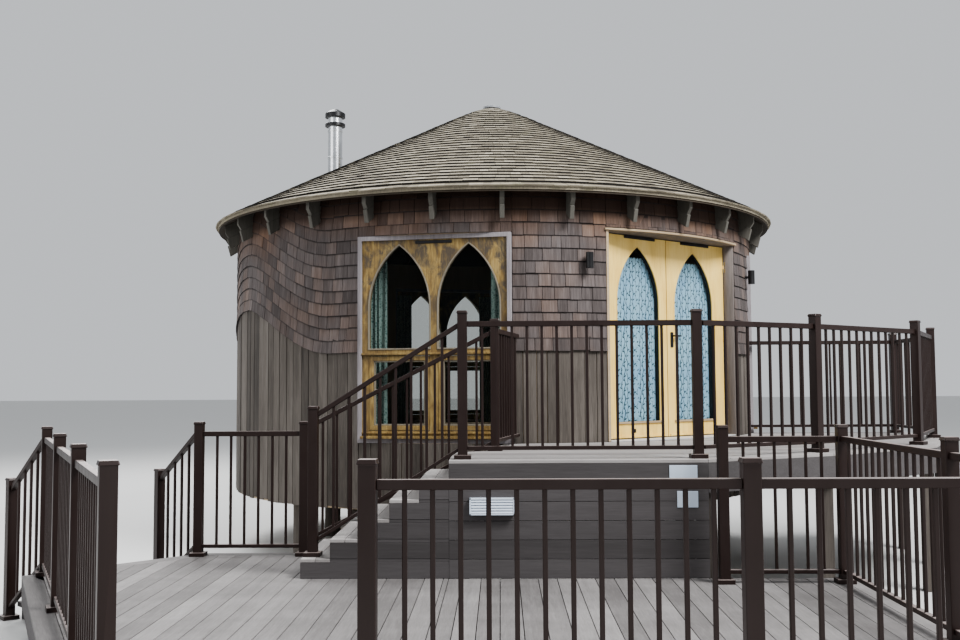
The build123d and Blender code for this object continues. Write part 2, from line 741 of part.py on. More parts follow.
def edge_boards(points, z, height, near=0.0, far=FASCIA_T, edges=None):
    """Upright mitred boards along some edges of a plan line, between two distances to its left."""
    outer = offset_line(points, -near)
    inner = offset_line(points, -far)
    for i in edges or range(len(points) - 1):
        with BuildSketch(Plane.XY.offset(z)) as board:
            with BuildLine() as edge:
                Polyline(outer[i], outer[i + 1], inner[i + 1], inner[i], close=True)
            make_face(edge.edges())
            offset(amount=-FIT / 2, kind=Kind.INTERSECTION)
        extrude(board.sketch, amount=height)


wall_right = (sqrt(DECK_IN_R**2 - back_right[1] ** 2), back_right[1])
left_run = [side_in, side_left, landing_in, landing_left, front_left]
upper_line = left_run + upper_edge[1:] + [back_right, wall_right]
STAIR_EDGE = 3
FRONT_EDGE = 4
with BuildPart() as upper_rims:
    edge_boards(upper_line, frame_bottom, JOIST[1], RIM_IN, RIM_IN + JOIST[0])
finish(upper_rims, "upper_rims")

fascia_edges = [i for i in range(len(upper_line) - 1) if i not in (STAIR_EDGE, FRONT_EDGE)]
with BuildPart() as upper_fascia:
    edge_boards(upper_line, frame_top - UPPER_FASCIA_H, UPPER_FASCIA_H, edges=fascia_edges)
finish(upper_fascia, "upper_fascia")

with BuildPart() as front_cladding:
    edge_boards(upper_line, LOWER_Z, frame_top - LOWER_Z, edges=[FRONT_EDGE])
finish(front_cladding, "front_cladding")

# Piers under the upper deck: below the rim at the railing posts, and below joists by the cabin
PIER_OUT = DECK_EDGE - JOIST_IN - PIER / 4
CABIN_PIER_ROWS = (-int(DECK_IN_R / JOIST_PITCH), -int(DECK_IN_R / JOIST_PITCH / 2) - 1)
pier_points = offset_line([STAIR_TOP_POST] + UPPER_CORNERS, PIER_OUT)
pier_points += [(STAIR_FAR_POST[0] + PIER, STAIR_FAR_POST[1] + 3 * PIER)]
for row in CABIN_PIER_ROWS:
    y = row * JOIST_PITCH
    pier_points.append((sqrt(DECK_IN_R**2 - y**2) + PIER, y))
with BuildPart() as upper_piers:
    with BuildSketch():
        with Locations(*pier_points):
            Rectangle(PIER, PIER)
    extrude(amount=frame_bottom)
finish(upper_piers, "upper_piers")

# Stair from the lower deck: closed sides, risers and treads
tread_edges = [STAIR_TOP_X - k * GOING for k in range(STAIR_RISERS)]
stair_foot_x = tread_edges[-1]
profile = [(STAIR_TOP_X, LOWER_Z), (stair_foot_x, LOWER_Z)]
for k in range(STAIR_RISERS - 1):
    z = LOWER_Z + (k + 1) * RISER - TREAD_T
    x = stair_foot_x + k * GOING
    profile += [(x, z), (x + GOING, z)]
with BuildPart() as stair_sides:
    for y in (FRONT_Y + STAIR_SIDE_T, STAIR_BACK_Y):
        with BuildSketch(Plane.XZ.offset(-y)):
            with BuildLine():
                Polyline(*profile, close=True)
            make_face()
        extrude(amount=STAIR_SIDE_T)
finish(stair_sides, "stair_sides")

inner_w = STAIR_BACK_Y - FRONT_Y - 2 * STAIR_SIDE_T
middle_y = (STAIR_BACK_Y + FRONT_Y) / 2
with BuildPart() as stair_risers:
    for k in range(STAIR_RISERS):
        x = stair_foot_x + k * GOING + FASCIA_T / 2
        z = LOWER_Z + k * RISER
        height = RISER - TREAD_T
        with Locations((x, middle_y, z + height / 2)):
            Box(FASCIA_T, inner_w, height)
finish(stair_risers, "stair_risers")

with BuildPart() as stair_treads:
    for k in range(STAIR_RISERS - 1):
        x = stair_foot_x + (k + 0.5) * GOING
        z = LOWER_Z + (k + 1) * RISER - TREAD_T / 2
        with Locations((x, middle_y, z)):
            Box(GOING - FIT, STAIR_BACK_Y - FRONT_Y, TREAD_T)
finish(stair_treads, "stair_treads")

# Lower deck outline: the near edge, the right side, back along the upper deck, then the left side
outer_edge = offset_line(LOWER_LEFT[::-1] + LOWER_NEAR + LOWER_RIGHT[:2], DECK_EDGE)
near_left = outer_edge[len(LOWER_LEFT) - 1]
near_right = outer_edge[len(LOWER_LEFT) + len(LOWER_NEAR) - 1]
left_dir, _ = unit(LOWER_LEFT[-1], LOWER_LEFT[0])
left_out = (left_dir[1], -left_dir[0])
garden_dir, garden_w = unit(LOWER_LEFT[-1], LOWER_BACK[0])
garden_out = (-garden_dir[1], garden_dir[0])


def garden_point(post, out, along=0.0):
    """A plan point beside the garden steps: out from a top post, and along the deck's edge."""
    return (
        post[0] + garden_out[0] * out + garden_dir[0] * along,
        post[1] + garden_out[1] * out + garden_dir[1] * along,
    )


def dot(a, b):
    """How far one plan direction goes along another."""
    return a[0] * b[0] + a[1] * b[1]


# The garden edge meets the left edge at one end and the back edge at the other
to_left = (DECK_EDGE - PIER * dot(garden_out, left_out)) / dot(garden_dir, left_out)
to_back = (DECK_BACK_Y - garden_point(LOWER_BACK[0], PIER)[1]) / garden_dir[1]
garden_left = garden_point(LOWER_LEFT[-1], PIER, to_left)
garden_right = garden_point(LOWER_BACK[0], PIER, to_back)
back_right_y = FRONT_Y - FIT
lower_outline = [
    near_left,
    near_right,
    (near_right[0], back_right_y),
    (STAIR_TOP_X, back_right_y),
    (STAIR_TOP_X, DECK_BACK_Y),
    garden_right,
    garden_left,
]

with BuildPart() as lower_deck:
    with BuildSketch(Plane.XY.offset(LOWER_Z - BOARD_T)):
        deck_plan(lower_outline)
    extrude(amount=BOARD_T)
finish(lower_deck, "lower_deck")

lower_frame_top = LOWER_Z - BOARD_T
lower_frame_bottom = lower_frame_top - JOIST[1]
with BuildPart() as lower_joists:
    with BuildSketch(Plane.XY.offset(lower_frame_bottom)):
        deck_plan(lower_outline, JOIST_IN)
        with BuildSketch(mode=Mode.PRIVATE) as lower_strips:
            with Locations((0, DECK_BACK_Y - JOIST_PITCH / 2)):
                with GridLocations(0, JOIST_PITCH, 1, rows):
                    Rectangle(6 * EAVE_R, JOIST[0])
        add(lower_strips.sketch, mode=Mode.INTERSECT)
    extrude(amount=JOIST[1])
finish(lower_joists, "lower_joists")

lower_run = lower_outline + lower_outline[:1]
with BuildPart() as lower_rims:
    edge_boards(lower_run, lower_frame_bottom, JOIST[1], RIM_IN, RIM_IN + JOIST[0])
finish(lower_rims, "lower_rims")

with BuildPart() as lower_fascia:
    edge_boards(lower_run, lower_frame_top - LOWER_FASCIA_H, LOWER_FASCIA_H)
finish(lower_fascia, "lower_fascia")

pier_xs = [STAIR_TOP_X + 3 * PIER - k * JOIST_PITCH * 3 for k in range(-2, 2)]
joist_ys = [DECK_BACK_Y - JOIST_PITCH / 2 - k * JOIST_PITCH for k in (1, 4, 7, 10)]
lower_pier_points = [(x, y) for x in pier_xs for y in joist_ys if y < FRONT_Y - PIER or x < STAIR_TOP_X]
lower_pier_points += [(-3000, joist_ys[0] - JOIST_PITCH), (-2400, joist_ys[0]), (-2900, joist_ys[1])]
with BuildPart() as lower_piers:
    with BuildSketch():
        with Locations(*lower_pier_points):
            Rectangle(PIER, PIER)
    extrude(amount=lower_frame_bottom)
finish(lower_piers, "lower_piers")

# Garden steps: boxed treads, each on the one below, down from the angled edge to the ground
half_w = garden_w / 2
garden_turn = degrees(atan2(garden_dir[1], garden_dir[0]))
with BuildPart() as garden_steps:
    for k in range(1, GARDEN_RISERS):
        out = PIER + FIT + (k - 0.5) * GARDEN_GOING
        x, y = garden_point(LOWER_LEFT[-1], out, half_w)
        top = LOWER_Z - k * RISER
        with Locations(Location((x, y, top - GARDEN_TREAD_T / 2), (0, 0, garden_turn))):
            Box(garden_w - POST, GARDEN_GOING - FIT, GARDEN_TREAD_T)
        for along in (-1, 0, 1):
            px, py = garden_point(LOWER_LEFT[-1], out, half_w + along * (half_w - PIER))
            with Locations(Location((px, py, (top - GARDEN_TREAD_T) / 2), (0, 0, garden_turn))):
                Box(JOIST[0], GARDEN_GOING - FIT, top - GARDEN_TREAD_T)
finish(garden_steps, "garden_steps")

# Railing posts
def post_at(x, y, z, turn=0.0):
    """A square post with its foot skirt and cap in the part that is open."""
    flat = Location((x, y, z), (0, 0, turn))
    up = (Align.CENTER, Align.CENTER, Align.MIN)
    with Locations(flat):
        Box(POST, POST, POST_H, align=up)
        Box(FOOT_W, FOOT_W, FOOT_H, align=up)
    with BuildSketch(Plane(flat).offset(POST_H)) as cap:
        Rectangle(CAP_W, CAP_W)
    extrude(cap.sketch, amount=CAP_T, taper=18)


def heading(a, b):
    """Angle of the line from one plan point to another."""
    return degrees(atan2(b[1] - a[1], b[0] - a[0]))


upper_run = [STAIR_TOP_POST] + UPPER_CORNERS
with BuildPart() as upper_posts:
    for i, p in enumerate(upper_run):
        before = upper_run[max(i - 1, 0)]
        after = upper_run[min(i + 1, len(upper_run) - 1)]
        post_at(*p, UPPER_Z, 0 if i in (0, 1) else heading(before, after))
    post_at(*STAIR_FAR_POST, UPPER_Z)
finish(upper_posts, "upper_posts")

left_turn = heading(LOWER_LEFT[0], LOWER_LEFT[-1])
garden_run = PIER + (GARDEN_RISERS - 1) * GARDEN_GOING + POST
garden_feet = [garden_point(p, garden_run) for p in (LOWER_LEFT[-1], LOWER_BACK[0])]
with BuildPart() as lower_posts:
    for p in LOWER_NEAR + LOWER_RIGHT + LOWER_BACK:
        post_at(*p, LOWER_Z)
    for p in LOWER_LEFT:
        post_at(*p, LOWER_Z, left_turn)
    post_at(*STAIR_FOOT_POST, LOWER_Z + RISER)
    for p in garden_feet:
        post_at(*p, 0, garden_turn)
finish(lower_posts, "lower_posts")


def post_edge(direction, turn):
    """Distance from a post's centre at which a rail at an angle to its faces just meets it."""
    skew = radians(abs((heading((0, 0), direction) - turn + 45) % 90 - 45))
    at_face = (POST / 2 + RAIL_W / 2 * sin(skew)) / cos(skew)
    at_corner = POST / 2 * (cos(skew) + sin(skew))
    return min(at_face, at_corner)


def panel(a, b, z_a, z_b, turn_a=0.0, turn_b=0.0, end_b=None):
    """A railing panel between two post centres in the part that is open, level or raking."""
    direction, length = unit(a, b)
    start = post_edge(direction, turn_a)
    end = length - (post_edge(direction, turn_b) if end_b is None else end_b)
    rake = (z_b - z_a) / length
    across = (direction[1], -direction[0], 0)
    side = Plane((a[0], a[1], 0), x_dir=(direction[0], direction[1], 0), z_dir=across)

    def bar(x1, x2, low, high):
        with BuildLine() as outline:
            Polyline(
                (x1, z_a + rake * x1 + low),
                (x2, z_a + rake * x2 + low),
                (x2, z_a + rake * x2 + high),
                (x1, z_a + rake * x1 + high),
                close=True,
            )
        make_face(outline.edges())

    with BuildSketch(side) as rails:
        bar(start, end, RAIL_TOP - RAIL_H, RAIL_TOP)
        bar(start, end, LOW_RAIL_Z, LOW_RAIL_Z + LOW_RAIL_H)
    extrude(rails.sketch, amount=RAIL_W / 2, both=True)
    count = round((end - start) / BALUSTER_PITCH) - 1
    spacing = (end - start) / (count + 1)
    with BuildSketch(side) as balusters:
        for k in range(count):
            x = start + (k + 1) * spacing
            bar(x - BALUSTER / 2, x + BALUSTER / 2, LOW_RAIL_Z, RAIL_TOP - RAIL_H)
    extrude(balusters.sketch, amount=BALUSTER / 2, both=True)


def panels(points, z, turns):
    """Level railing panels between neighbouring posts."""
    for i in range(len(points) - 1):
        panel(points[i], points[i + 1], z, z, turns[i], turns[i + 1])


upper_turns = [0, 0] + [heading(upper_run[i - 1], upper_run[min(i + 1, 5)]) for i in range(2, 6)]
far_y = UPPER_CORNERS[-1][1]
wall_end = (sqrt((WALL_R + DECK_CABIN_GAP) ** 2 - far_y**2), far_y)
near_wall = around(WALL_R + DECK_CABIN_GAP, 4.5)
with BuildPart() as upper_panels:
    panels(upper_run, UPPER_Z, upper_turns)
    panel(UPPER_CORNERS[-1], wall_end, UPPER_Z, UPPER_Z, upper_turns[-1], end_b=0)
    panel(STAIR_FAR_POST, (near_wall.X, near_wall.Y), UPPER_Z, UPPER_Z, end_b=0)
finish(upper_panels, "upper_panels")

with BuildPart() as stair_panels:
    panel(STAIR_FOOT_POST, STAIR_TOP_POST, LOWER_Z + RISER + STAIR_RAIL_LIFT, UPPER_Z + LANDING_LIFT)
    panel(LOWER_BACK[-1], STAIR_FAR_POST, LOWER_Z + STAIR_FAR_LIFT, UPPER_Z)
finish(stair_panels, "stair_panels")

with BuildPart() as lower_panels:
    panels(LOWER_NEAR + LOWER_RIGHT, LOWER_Z, [0] * 6)
    panels(LOWER_LEFT, LOWER_Z, [left_turn] * 4)
    panels(LOWER_BACK, LOWER_Z, (0, 0))
finish(lower_panels, "lower_panels")

with BuildPart() as garden_panels:
    panel(LOWER_LEFT[-1], garden_feet[0], LOWER_Z + GARDEN_RAIL_LIFT, 0, left_turn, garden_turn)
    panel(LOWER_BACK[0], garden_feet[1], LOWER_Z + GARDEN_RAIL_LIFT, 0, 0, garden_turn)
finish(garden_panels, "garden_panels")

# Louvred vent box on the front cladding
vent_w, vent_d, vent_h = VENT_BOX
with BuildPart() as vent_box:
    with Locations((VENT_BOX_X, FRONT_Y - vent_d / 2 - FIT, VENT_BOX_Z)):
        Box(vent_w, vent_d, vent_h)
finish(vent_box, "vent_box")
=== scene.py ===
"""Round shingled garden cabin on posts, with two decks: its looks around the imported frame.

Metres, +Z up, the cabin's middle over the origin and its front towards -Y. An angle round
the cabin is measured from the front towards +X.
"""
from math import asin, ceil, cos, degrees, hypot, pi, radians, sin, sqrt, tan
from random import Random

import bmesh
import bpy
from mathutils import Matrix, Vector


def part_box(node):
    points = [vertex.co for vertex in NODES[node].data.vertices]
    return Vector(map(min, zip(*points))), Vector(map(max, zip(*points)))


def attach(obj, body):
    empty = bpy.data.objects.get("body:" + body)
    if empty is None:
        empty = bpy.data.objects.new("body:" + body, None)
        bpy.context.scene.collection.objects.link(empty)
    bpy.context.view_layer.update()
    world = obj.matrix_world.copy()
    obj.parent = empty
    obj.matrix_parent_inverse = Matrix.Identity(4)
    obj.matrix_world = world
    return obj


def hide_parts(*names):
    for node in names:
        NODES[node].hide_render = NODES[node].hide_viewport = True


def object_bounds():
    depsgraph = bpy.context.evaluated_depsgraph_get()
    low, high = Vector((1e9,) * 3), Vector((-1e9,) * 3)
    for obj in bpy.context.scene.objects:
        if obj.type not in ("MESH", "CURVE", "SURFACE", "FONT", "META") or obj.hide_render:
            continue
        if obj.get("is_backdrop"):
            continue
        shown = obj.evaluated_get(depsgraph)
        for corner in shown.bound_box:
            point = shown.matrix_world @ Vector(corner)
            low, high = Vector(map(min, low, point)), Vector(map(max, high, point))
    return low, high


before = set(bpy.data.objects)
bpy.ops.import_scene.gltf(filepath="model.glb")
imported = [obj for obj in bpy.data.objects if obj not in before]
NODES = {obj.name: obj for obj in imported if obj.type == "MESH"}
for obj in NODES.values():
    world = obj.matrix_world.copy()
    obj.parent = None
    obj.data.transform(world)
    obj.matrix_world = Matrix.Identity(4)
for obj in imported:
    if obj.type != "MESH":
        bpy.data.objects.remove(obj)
cad_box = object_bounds()
chance = Random(31)

# Sizes of the solids that the pieces here are fitted to
LOWER_Z = 0.45
UPPER_Z = 1.35
RISER = 0.15
GOING = 0.229
TREADS = 5
WALL_R = 3.25
HEM_Z = 0.67
WINDOW_ANGLES = (-10.5, 83, 195)
WINDOW_W = 1.606
WINDOW_TOP = UPPER_Z + 2.115
WINDOW_PLANE = 3.212
FRAME_SETBACK = 0.025
WINDOW_LIGHT_X = 0.364
WINDOW_LIGHT_W = 0.644
DOOR_ANGLE = 40.5
DOOR_PLANE = 2.99
DOOR_SHIFT = -0.048
DOOR_HALF_W = 1.0279
DOOR_HEAD_Z = 3.54
LEAF_FOOT = UPPER_Z + 0.02
LEAF_H = 2.13
LEAF_MIDDLE = 0.4975
LEAF_T = 0.058
LIGHT_MIDDLE = 0.456
LIGHT_W = 0.662
LIGHT_SILL = 0.166
LIGHT_SPRING = 1.424
LIGHT_APEX = 2.029
GLASS_FRONT = 0.014
ROOF_PITCH = radians(26.5)
EAVE_R = 3.5
EAVE_TOP = 3.8907
RAFTERS = 30
RAFTER_FOOT_Z = 3.672
FLUE_AT = (-2.145, 0.378)
DECK_GAP_R = 3.295
BOARD_T = 0.025
FRONT_Y = -5.6
STAIR_TOP_X = -0.314
STAIR_BACK_Y = -4.51
DECK_BACK_Y = -4.33
DECK_END_Y = -1.09


# Making pieces
def new_heap():
    """An empty mesh whose corners keep a shade, a height up their board and a place in the grain."""
    heap = bmesh.new()
    heap.verts.layers.float.new("tone")
    heap.verts.layers.float.new("rise")
    heap.verts.layers.float_vector.new("grain")
    return heap


def place_at(angle, r, z):
    """A place round the cabin: x runs along the wall, y inwards and z up."""
    return Matrix.Rotation(radians(angle), 4, "Z") @ Matrix.Translation((0, -r, z))


def door_place(distance, z, along=0.0):
    """A place across the doorway, at a distance from where the leaves meet."""
    return place_at(DOOR_ANGLE, distance, z) @ Matrix.Translation((DOOR_SHIFT + along, 0, 0))


def some_shade(spread):
    """A shade for one shingle or board, mostly near the middle."""
    return min(1, max(0, chance.gauss(0.5, spread)))


def paint(heap, corners, tone):
    """Gives new corners one shade, and their own stretch of grain."""
    shade = heap.verts.layers.float["tone"]
    grain = heap.verts.layers.float_vector["grain"]
    shift = Vector([chance.uniform(0, 30) for _ in range(3)])
    for corner in corners:
        corner[shade] = tone
        corner[grain] = corner.co + shift


def turn_grain(heap, follow=0.0):
    """Lays the grain of a heap's boards along y, and moves it on with y by a share."""
    grain = heap.verts.layers.float_vector["grain"]
    for corner in heap.verts:
        spot = corner[grain].copy()
        corner[grain] = Vector((spot.y + follow * corner.co.y, spot.x, spot.z))


def slab(heap, low, high, place=None, tone=None, shape=None):
    """A board between two local corners, its corners moved by shape, then put in its place."""
    corners = bmesh.ops.create_cube(heap, size=1)["verts"]
    size = Vector(high) - Vector(low)
    middle = (Vector(high) + Vector(low)) / 2
    rise = heap.verts.layers.float["rise"]
    for corner in corners:
        corner.co = middle + Vector([c * s for c, s in zip(corner.co, size)])
        corner[rise] = corner.co.z - low[2]
    paint(heap, corners, chance.random() if tone is None else tone)
    for corner in corners:
        local = Vector(shape(corner.co)) if shape else corner.co
        corner.co = place @ local if place else local
    return corners


def rod(heap, radius, low, high, place=None, sides=48, top=None):
    """A round bar or cone along local z."""
    radii = {"radius1": radius, "radius2": radius if top is None else top}
    made = bmesh.ops.create_cone(heap, cap_ends=True, segments=sides, depth=high - low, **radii)["verts"]
    for corner in made:
        corner.co.z += (low + high) / 2
    paint(heap, made, 0.5)
    if place:
        bmesh.ops.transform(heap, matrix=place, verts=made)


def soften(piece, width, segments=1):
    """Rounds the sharp edges of a piece."""
    edges = piece.modifiers.new("soft_edges", "BEVEL")
    edges.width = width
    edges.segments = segments
    edges.limit_method = "ANGLE"
    edges.angle_limit = radians(35)


def settle(heap, name, material, slot, body="root", bevel=0.0, instead_of=None):
    """Turns a heap into a piece of the model that rides on a body."""
    mesh = bpy.data.meshes.new(name)
    heap.to_mesh(mesh)
    heap.free()
    mesh.materials.append(material)
    piece = bpy.data.objects.new(name, mesh)
    bpy.context.scene.collection.objects.link(piece)
    if bevel:
        soften(piece, bevel)
    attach(piece, body)
    if instead_of:
        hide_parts(instead_of)
    return piece


# Finishes
class Recipe:
    """A material in the making: adds nodes, and feeds numbers, colours or other nodes to them."""

    def __init__(self, name, roughness, metallic=0.0):
        self.material = bpy.data.materials.new(name)
        self.material.use_nodes = True
        self.tree = self.material.node_tree
        self.surface = self.tree.nodes["Principled BSDF"]
        self.feed(self.surface, "Roughness", roughness)
        self.feed(self.surface, "Metallic", metallic)

    def feed(self, node, socket, value):
        """Sets an input, or joins another node's output to it."""
        target = node.inputs[socket]
        if isinstance(value, bpy.types.NodeSocket):
            self.tree.links.new(value, target)
        elif target.type == "RGBA":
            target.default_value = (*value, 1)
        else:
            target.default_value = value

    def node(self, kind, inputs=None, **settings):
        """Adds a node with its settings and inputs."""
        made = self.tree.nodes.new("ShaderNode" + kind)
        for key, value in settings.items():
            setattr(made, key, value)
        for socket, value in (inputs or {}).items():
            self.feed(made, socket, value)
        return made

    def kept(self, name, output="Fac"):
        """What a piece's corners keep under a name."""
        return self.node("Attribute", attribute_name=name).outputs[output]

    def place(self, stretch=1, own_grain=False):
        """Places on a piece or in a board's own grain, stretched along z or by all three axes."""
        source = self.kept("grain", "Vector") if own_grain else self.node("TexCoord").outputs["Object"]
        scale = stretch if isinstance(stretch, tuple) else (1, 1, stretch)
        return self.node("Mapping", {"Vector": source, "Scale": scale}).outputs["Vector"]

    def split(self, vector):
        """The three parts of a vector."""
        return self.node("SeparateXYZ", {"Vector": vector}).outputs

    def noise(self, scale, stretch=1, detail=3, distortion=0, rough=0.55, own_grain=False):
        """Cloudy variation from 0 to 1."""
        inputs = {"Vector": self.place(stretch, own_grain), "Scale": scale, "Detail": detail}
        inputs.update({"Distortion": distortion, "Roughness": rough})
        return self.node("TexNoise", inputs).outputs["Fac"]

    def sum(self, operation, *terms):
        """One step of arithmetic."""
        return self.node("Math", dict(enumerate(terms)), operation=operation).outputs[0]

    def scaled(self, value, factor, plus):
        """A number times a factor, plus another."""
        return self.sum("MULTIPLY_ADD", value, factor, plus)

    def weighed(self, *parts, less):
        """Numbers by their weights, added up, less a number."""
        total = self.sum("MULTIPLY", *parts[0])
        for part in parts[1:]:
            total = self.scaled(*part, total)
        return self.sum("SUBTRACT", total, less) if less else total

    def ramp(self, value, stops):
        """A colour from a number, by stops of (number, colour or grey)."""
        made = self.node("ValToRGB", {"Fac": value})
        band = made.color_ramp
        while len(band.elements) < len(stops):
            band.elements.new(1.0)
        for element, (at, colour) in zip(band.elements, stops):
            element.position = at
            element.color = (*colour, 1) if isinstance(colour, tuple) else (colour,) * 3 + (1,)
        return made.outputs["Color"]

    def fade(self, value, start, stop, last=1.0, first=0.0):
        """A share that goes evenly from first to last while a number goes from start to stop."""
        return self.ramp(value, ((start, first), (stop, last)))

    def height_fade(self, factor, plus, stop=1.0, last=1.0, first=0.0):
        """The same for the height on the piece, times a factor and plus a number."""
        height = self.scaled(self.split(self.place())["Z"], factor, plus)
        return self.fade(height, 0.0, stop, last, first)

    def blend(self, share, under, over):
        """One colour over another."""
        return self.node("Mix", {0: share, 6: under, 7: over}, data_type="RGBA").outputs[2]

    def bump(self, height, depth):
        """Relief of a depth in metres."""
        inputs = {"Height": height, "Distance": depth, "Strength": 1.0}
        return self.node("Bump", inputs).outputs["Normal"]

    def done(self, colour, normal=None, roughness=None):
        """Feeds the surface and hands over the material."""
        for socket, value in (("Base Color", colour), ("Normal", normal), ("Roughness", roughness)):
            if value:
                self.feed(self.surface, socket, value)
        return self.material


def shades(*rows):
    """Colour stops from rows of a place in hundredths, and red, green and blue in thousandths."""
    return tuple((at / 100, tuple(c / 1000 for c in colour)) for at, *colour in rows)


def board_finish(name, stops, along="z", own_grain=False, fine=90, relief=0.0012, rough=0.8, stain=0.25):
    """Sawn or planed timber: fine streaks along the grain, broad weathering, and board shades."""
    recipe = Recipe(name, rough)
    fibre, cloud = (tuple(long if axis == along else 1 for axis in "xyz") for long in (0.06, 0.35))
    streaks = recipe.noise(fine, fibre, 5, 0.3, 0.65, own_grain)
    bands = recipe.noise(fine / 6, fibre, 3, 0.8, own_grain=own_grain)
    weather = recipe.noise(2.3, cloud, 4)
    value = recipe.weighed((bands, 0.35), (streaks, 0.45), (weather, stain * 1.6), less=0)
    if own_grain:
        value = recipe.sum("SUBTRACT", recipe.scaled(recipe.kept("tone"), 0.34, value), 0.17)
    colour = recipe.ramp(recipe.sum("SUBTRACT", value, stain * 0.8), stops)
    return recipe.done(colour, recipe.bump(recipe.scaled(bands, 0.6, streaks), relief))


def painted_shingle_shade(recipe, colour, exposure, band, strength, shade):
    """Painted shade: darkens a shingle's sawn end, and the strip of each exposure just under the butts of
    the course above.
    """
    rise = recipe.kept("rise")
    # Painted shade on the sawn end, and painted shadow of the course above along the top of the exposure
    end = recipe.fade(rise, 0.0, 0.005, 0.0, 1.0)
    under_butt_shade = recipe.fade(rise, exposure - band, exposure - 0.15 * band, strength)
    return recipe.blend(recipe.sum("MAXIMUM", end, under_butt_shade), colour, shade)


def roof_shingle_finish():
    """Weathered cedar roof shingles: grey-beige, each with its own shade and darker streaks."""
    recipe = Recipe("roof_shingle_grey", 0.85)
    streaks = recipe.noise(120, 0.09, 4, 0.2, 0.6, own_grain=True)
    parts = (streaks, 0.55), (recipe.kept("tone"), 0.45), (recipe.noise(1.1), 0.40)
    stops = shades((12, 75, 61, 43), (38, 180, 156, 114), (62, 300, 267, 203), (90, 480, 438, 352))
    colour = recipe.ramp(recipe.weighed(*parts, less=0.2), stops)
    moss = recipe.fade(recipe.noise(7, detail=5), 0.56, 0.72, 0.45)
    colour = recipe.blend(moss, colour, (0.170, 0.175, 0.090))
    # Painted shade on the sawn ends, and painted shadow under each course's butts
    colour = painted_shingle_shade(recipe, colour, 0.122, 0.038, 0.88, (0.020, 0.017, 0.014))
    return recipe.done(colour, recipe.bump(streaks, 0.0015))


def wall_shingle_finish():
    """Weathered wall shingles: brown, grey and purple, redder up high, and darkened under the eaves as
    painted shade.
    """
    recipe = Recipe("wall_shingle_brown", 0.82)
    tone = recipe.kept("tone")
    streaks = recipe.noise(95, 0.05, 5, 0.25, 0.7, own_grain=True)
    bands = recipe.noise(22, 0.10, 3, 0.6, own_grain=True)
    weather = recipe.noise(1.6, 0.6, 4)
    value = recipe.weighed((streaks, 0.50), (tone, 0.27), (bands, 0.42), less=0.115)
    stops = shades((15, 30, 23, 21), (38, 70, 57, 54), (58, 128, 109, 106), (85, 250, 224, 218))
    warm_stops = shades((15, 48, 21, 11), (40, 110, 55, 30), (62, 180, 102, 62), (90, 270, 180, 125))
    high = recipe.height_fade(1.6, -5.35)
    share = recipe.weighed((tone, 0.32), (weather, 1.2), (high, 0.55), less=0.55)
    share = recipe.fade(share, 0.12, 0.75, 0.9)
    colour = recipe.blend(share, recipe.ramp(value, stops), recipe.ramp(value, warm_stops))
    # Painted shade: near the top, under the eaves, the shingles darken to a deep red-brown
    under_eave_shade = recipe.height_fade(9.0, -32.6, last=0.88)
    colour = recipe.blend(under_eave_shade, colour, (0.026, 0.011, 0.006))
    # Painted shade on the sawn ends, and painted shadow under each course's butts
    colour = painted_shingle_shade(recipe, colour, COURSE, 0.015, 0.85, (0.016, 0.011, 0.010))
    return recipe.done(colour, recipe.bump(recipe.scaled(bands, 0.5, streaks), 0.0018))


def painted_metal(name, colour, roughness=0.4, metallic=0.2, wear=0.25, top_highlight=0.0):
    """Powder-coated metal with a faint uneven sheen, and a pale painted highlight on the faces that look
    up.
    """
    recipe = Recipe(name, roughness, metallic)
    cloud = recipe.noise(9, 0.4, 4)
    light = tuple(min(1.0, c * 1.5 + 0.02) for c in colour)
    shade = recipe.blend(recipe.fade(cloud, 0.35, 0.85, wear * 2), colour, light)
    if top_highlight:
        # Painted highlight: faces that look up are lightened towards a pale pinkish grey
        up = recipe.split(recipe.node("NewGeometry").outputs["Normal"])["Z"]
        shade = recipe.blend(recipe.fade(up, 0.80, 0.97, top_highlight), shade, (0.42, 0.36, 0.34))
    skin = recipe.bump(recipe.noise(420, detail=2), 0.00015)
    return recipe.done(shade, skin, recipe.scaled(cloud, 0.25, roughness - 0.1))


def steel_finish():
    """Brushed stainless steel with bands round the pipe."""
    recipe = Recipe("stainless_steel", 0.24, 1.0)
    brush = recipe.noise(9, 40)
    colour = recipe.ramp(recipe.noise(5), shades((30, 500, 510, 520), (70, 720, 730, 740)))
    return recipe.done(colour, recipe.bump(brush, 0.0002), recipe.scaled(brush, 0.2, 0.14))


def door_paint_finish():
    """Ochre-yellow painted timber: upright grain showing through, rubbed darker low down."""
    recipe = Recipe("ochre_paint", 0.5)
    grain = recipe.noise(95, 0.05, 4, 0.2, 0.6)
    value = recipe.weighed((recipe.noise(7, 0.2), 0.5), (grain, 0.5), less=0)
    colour = recipe.ramp(value, shades((30, 680, 440, 115), (50, 830, 590, 190), (70, 890, 670, 260)))
    grime = recipe.fade(recipe.noise(14, 0.5, 4), 0.40, 0.75, 0.6)
    dirt = recipe.sum("MULTIPLY", recipe.height_fade(-2.6, 4.15), grime)
    colour = recipe.blend(dirt, colour, (0.340, 0.210, 0.085))
    return recipe.done(colour, recipe.bump(grain, 0.0005))


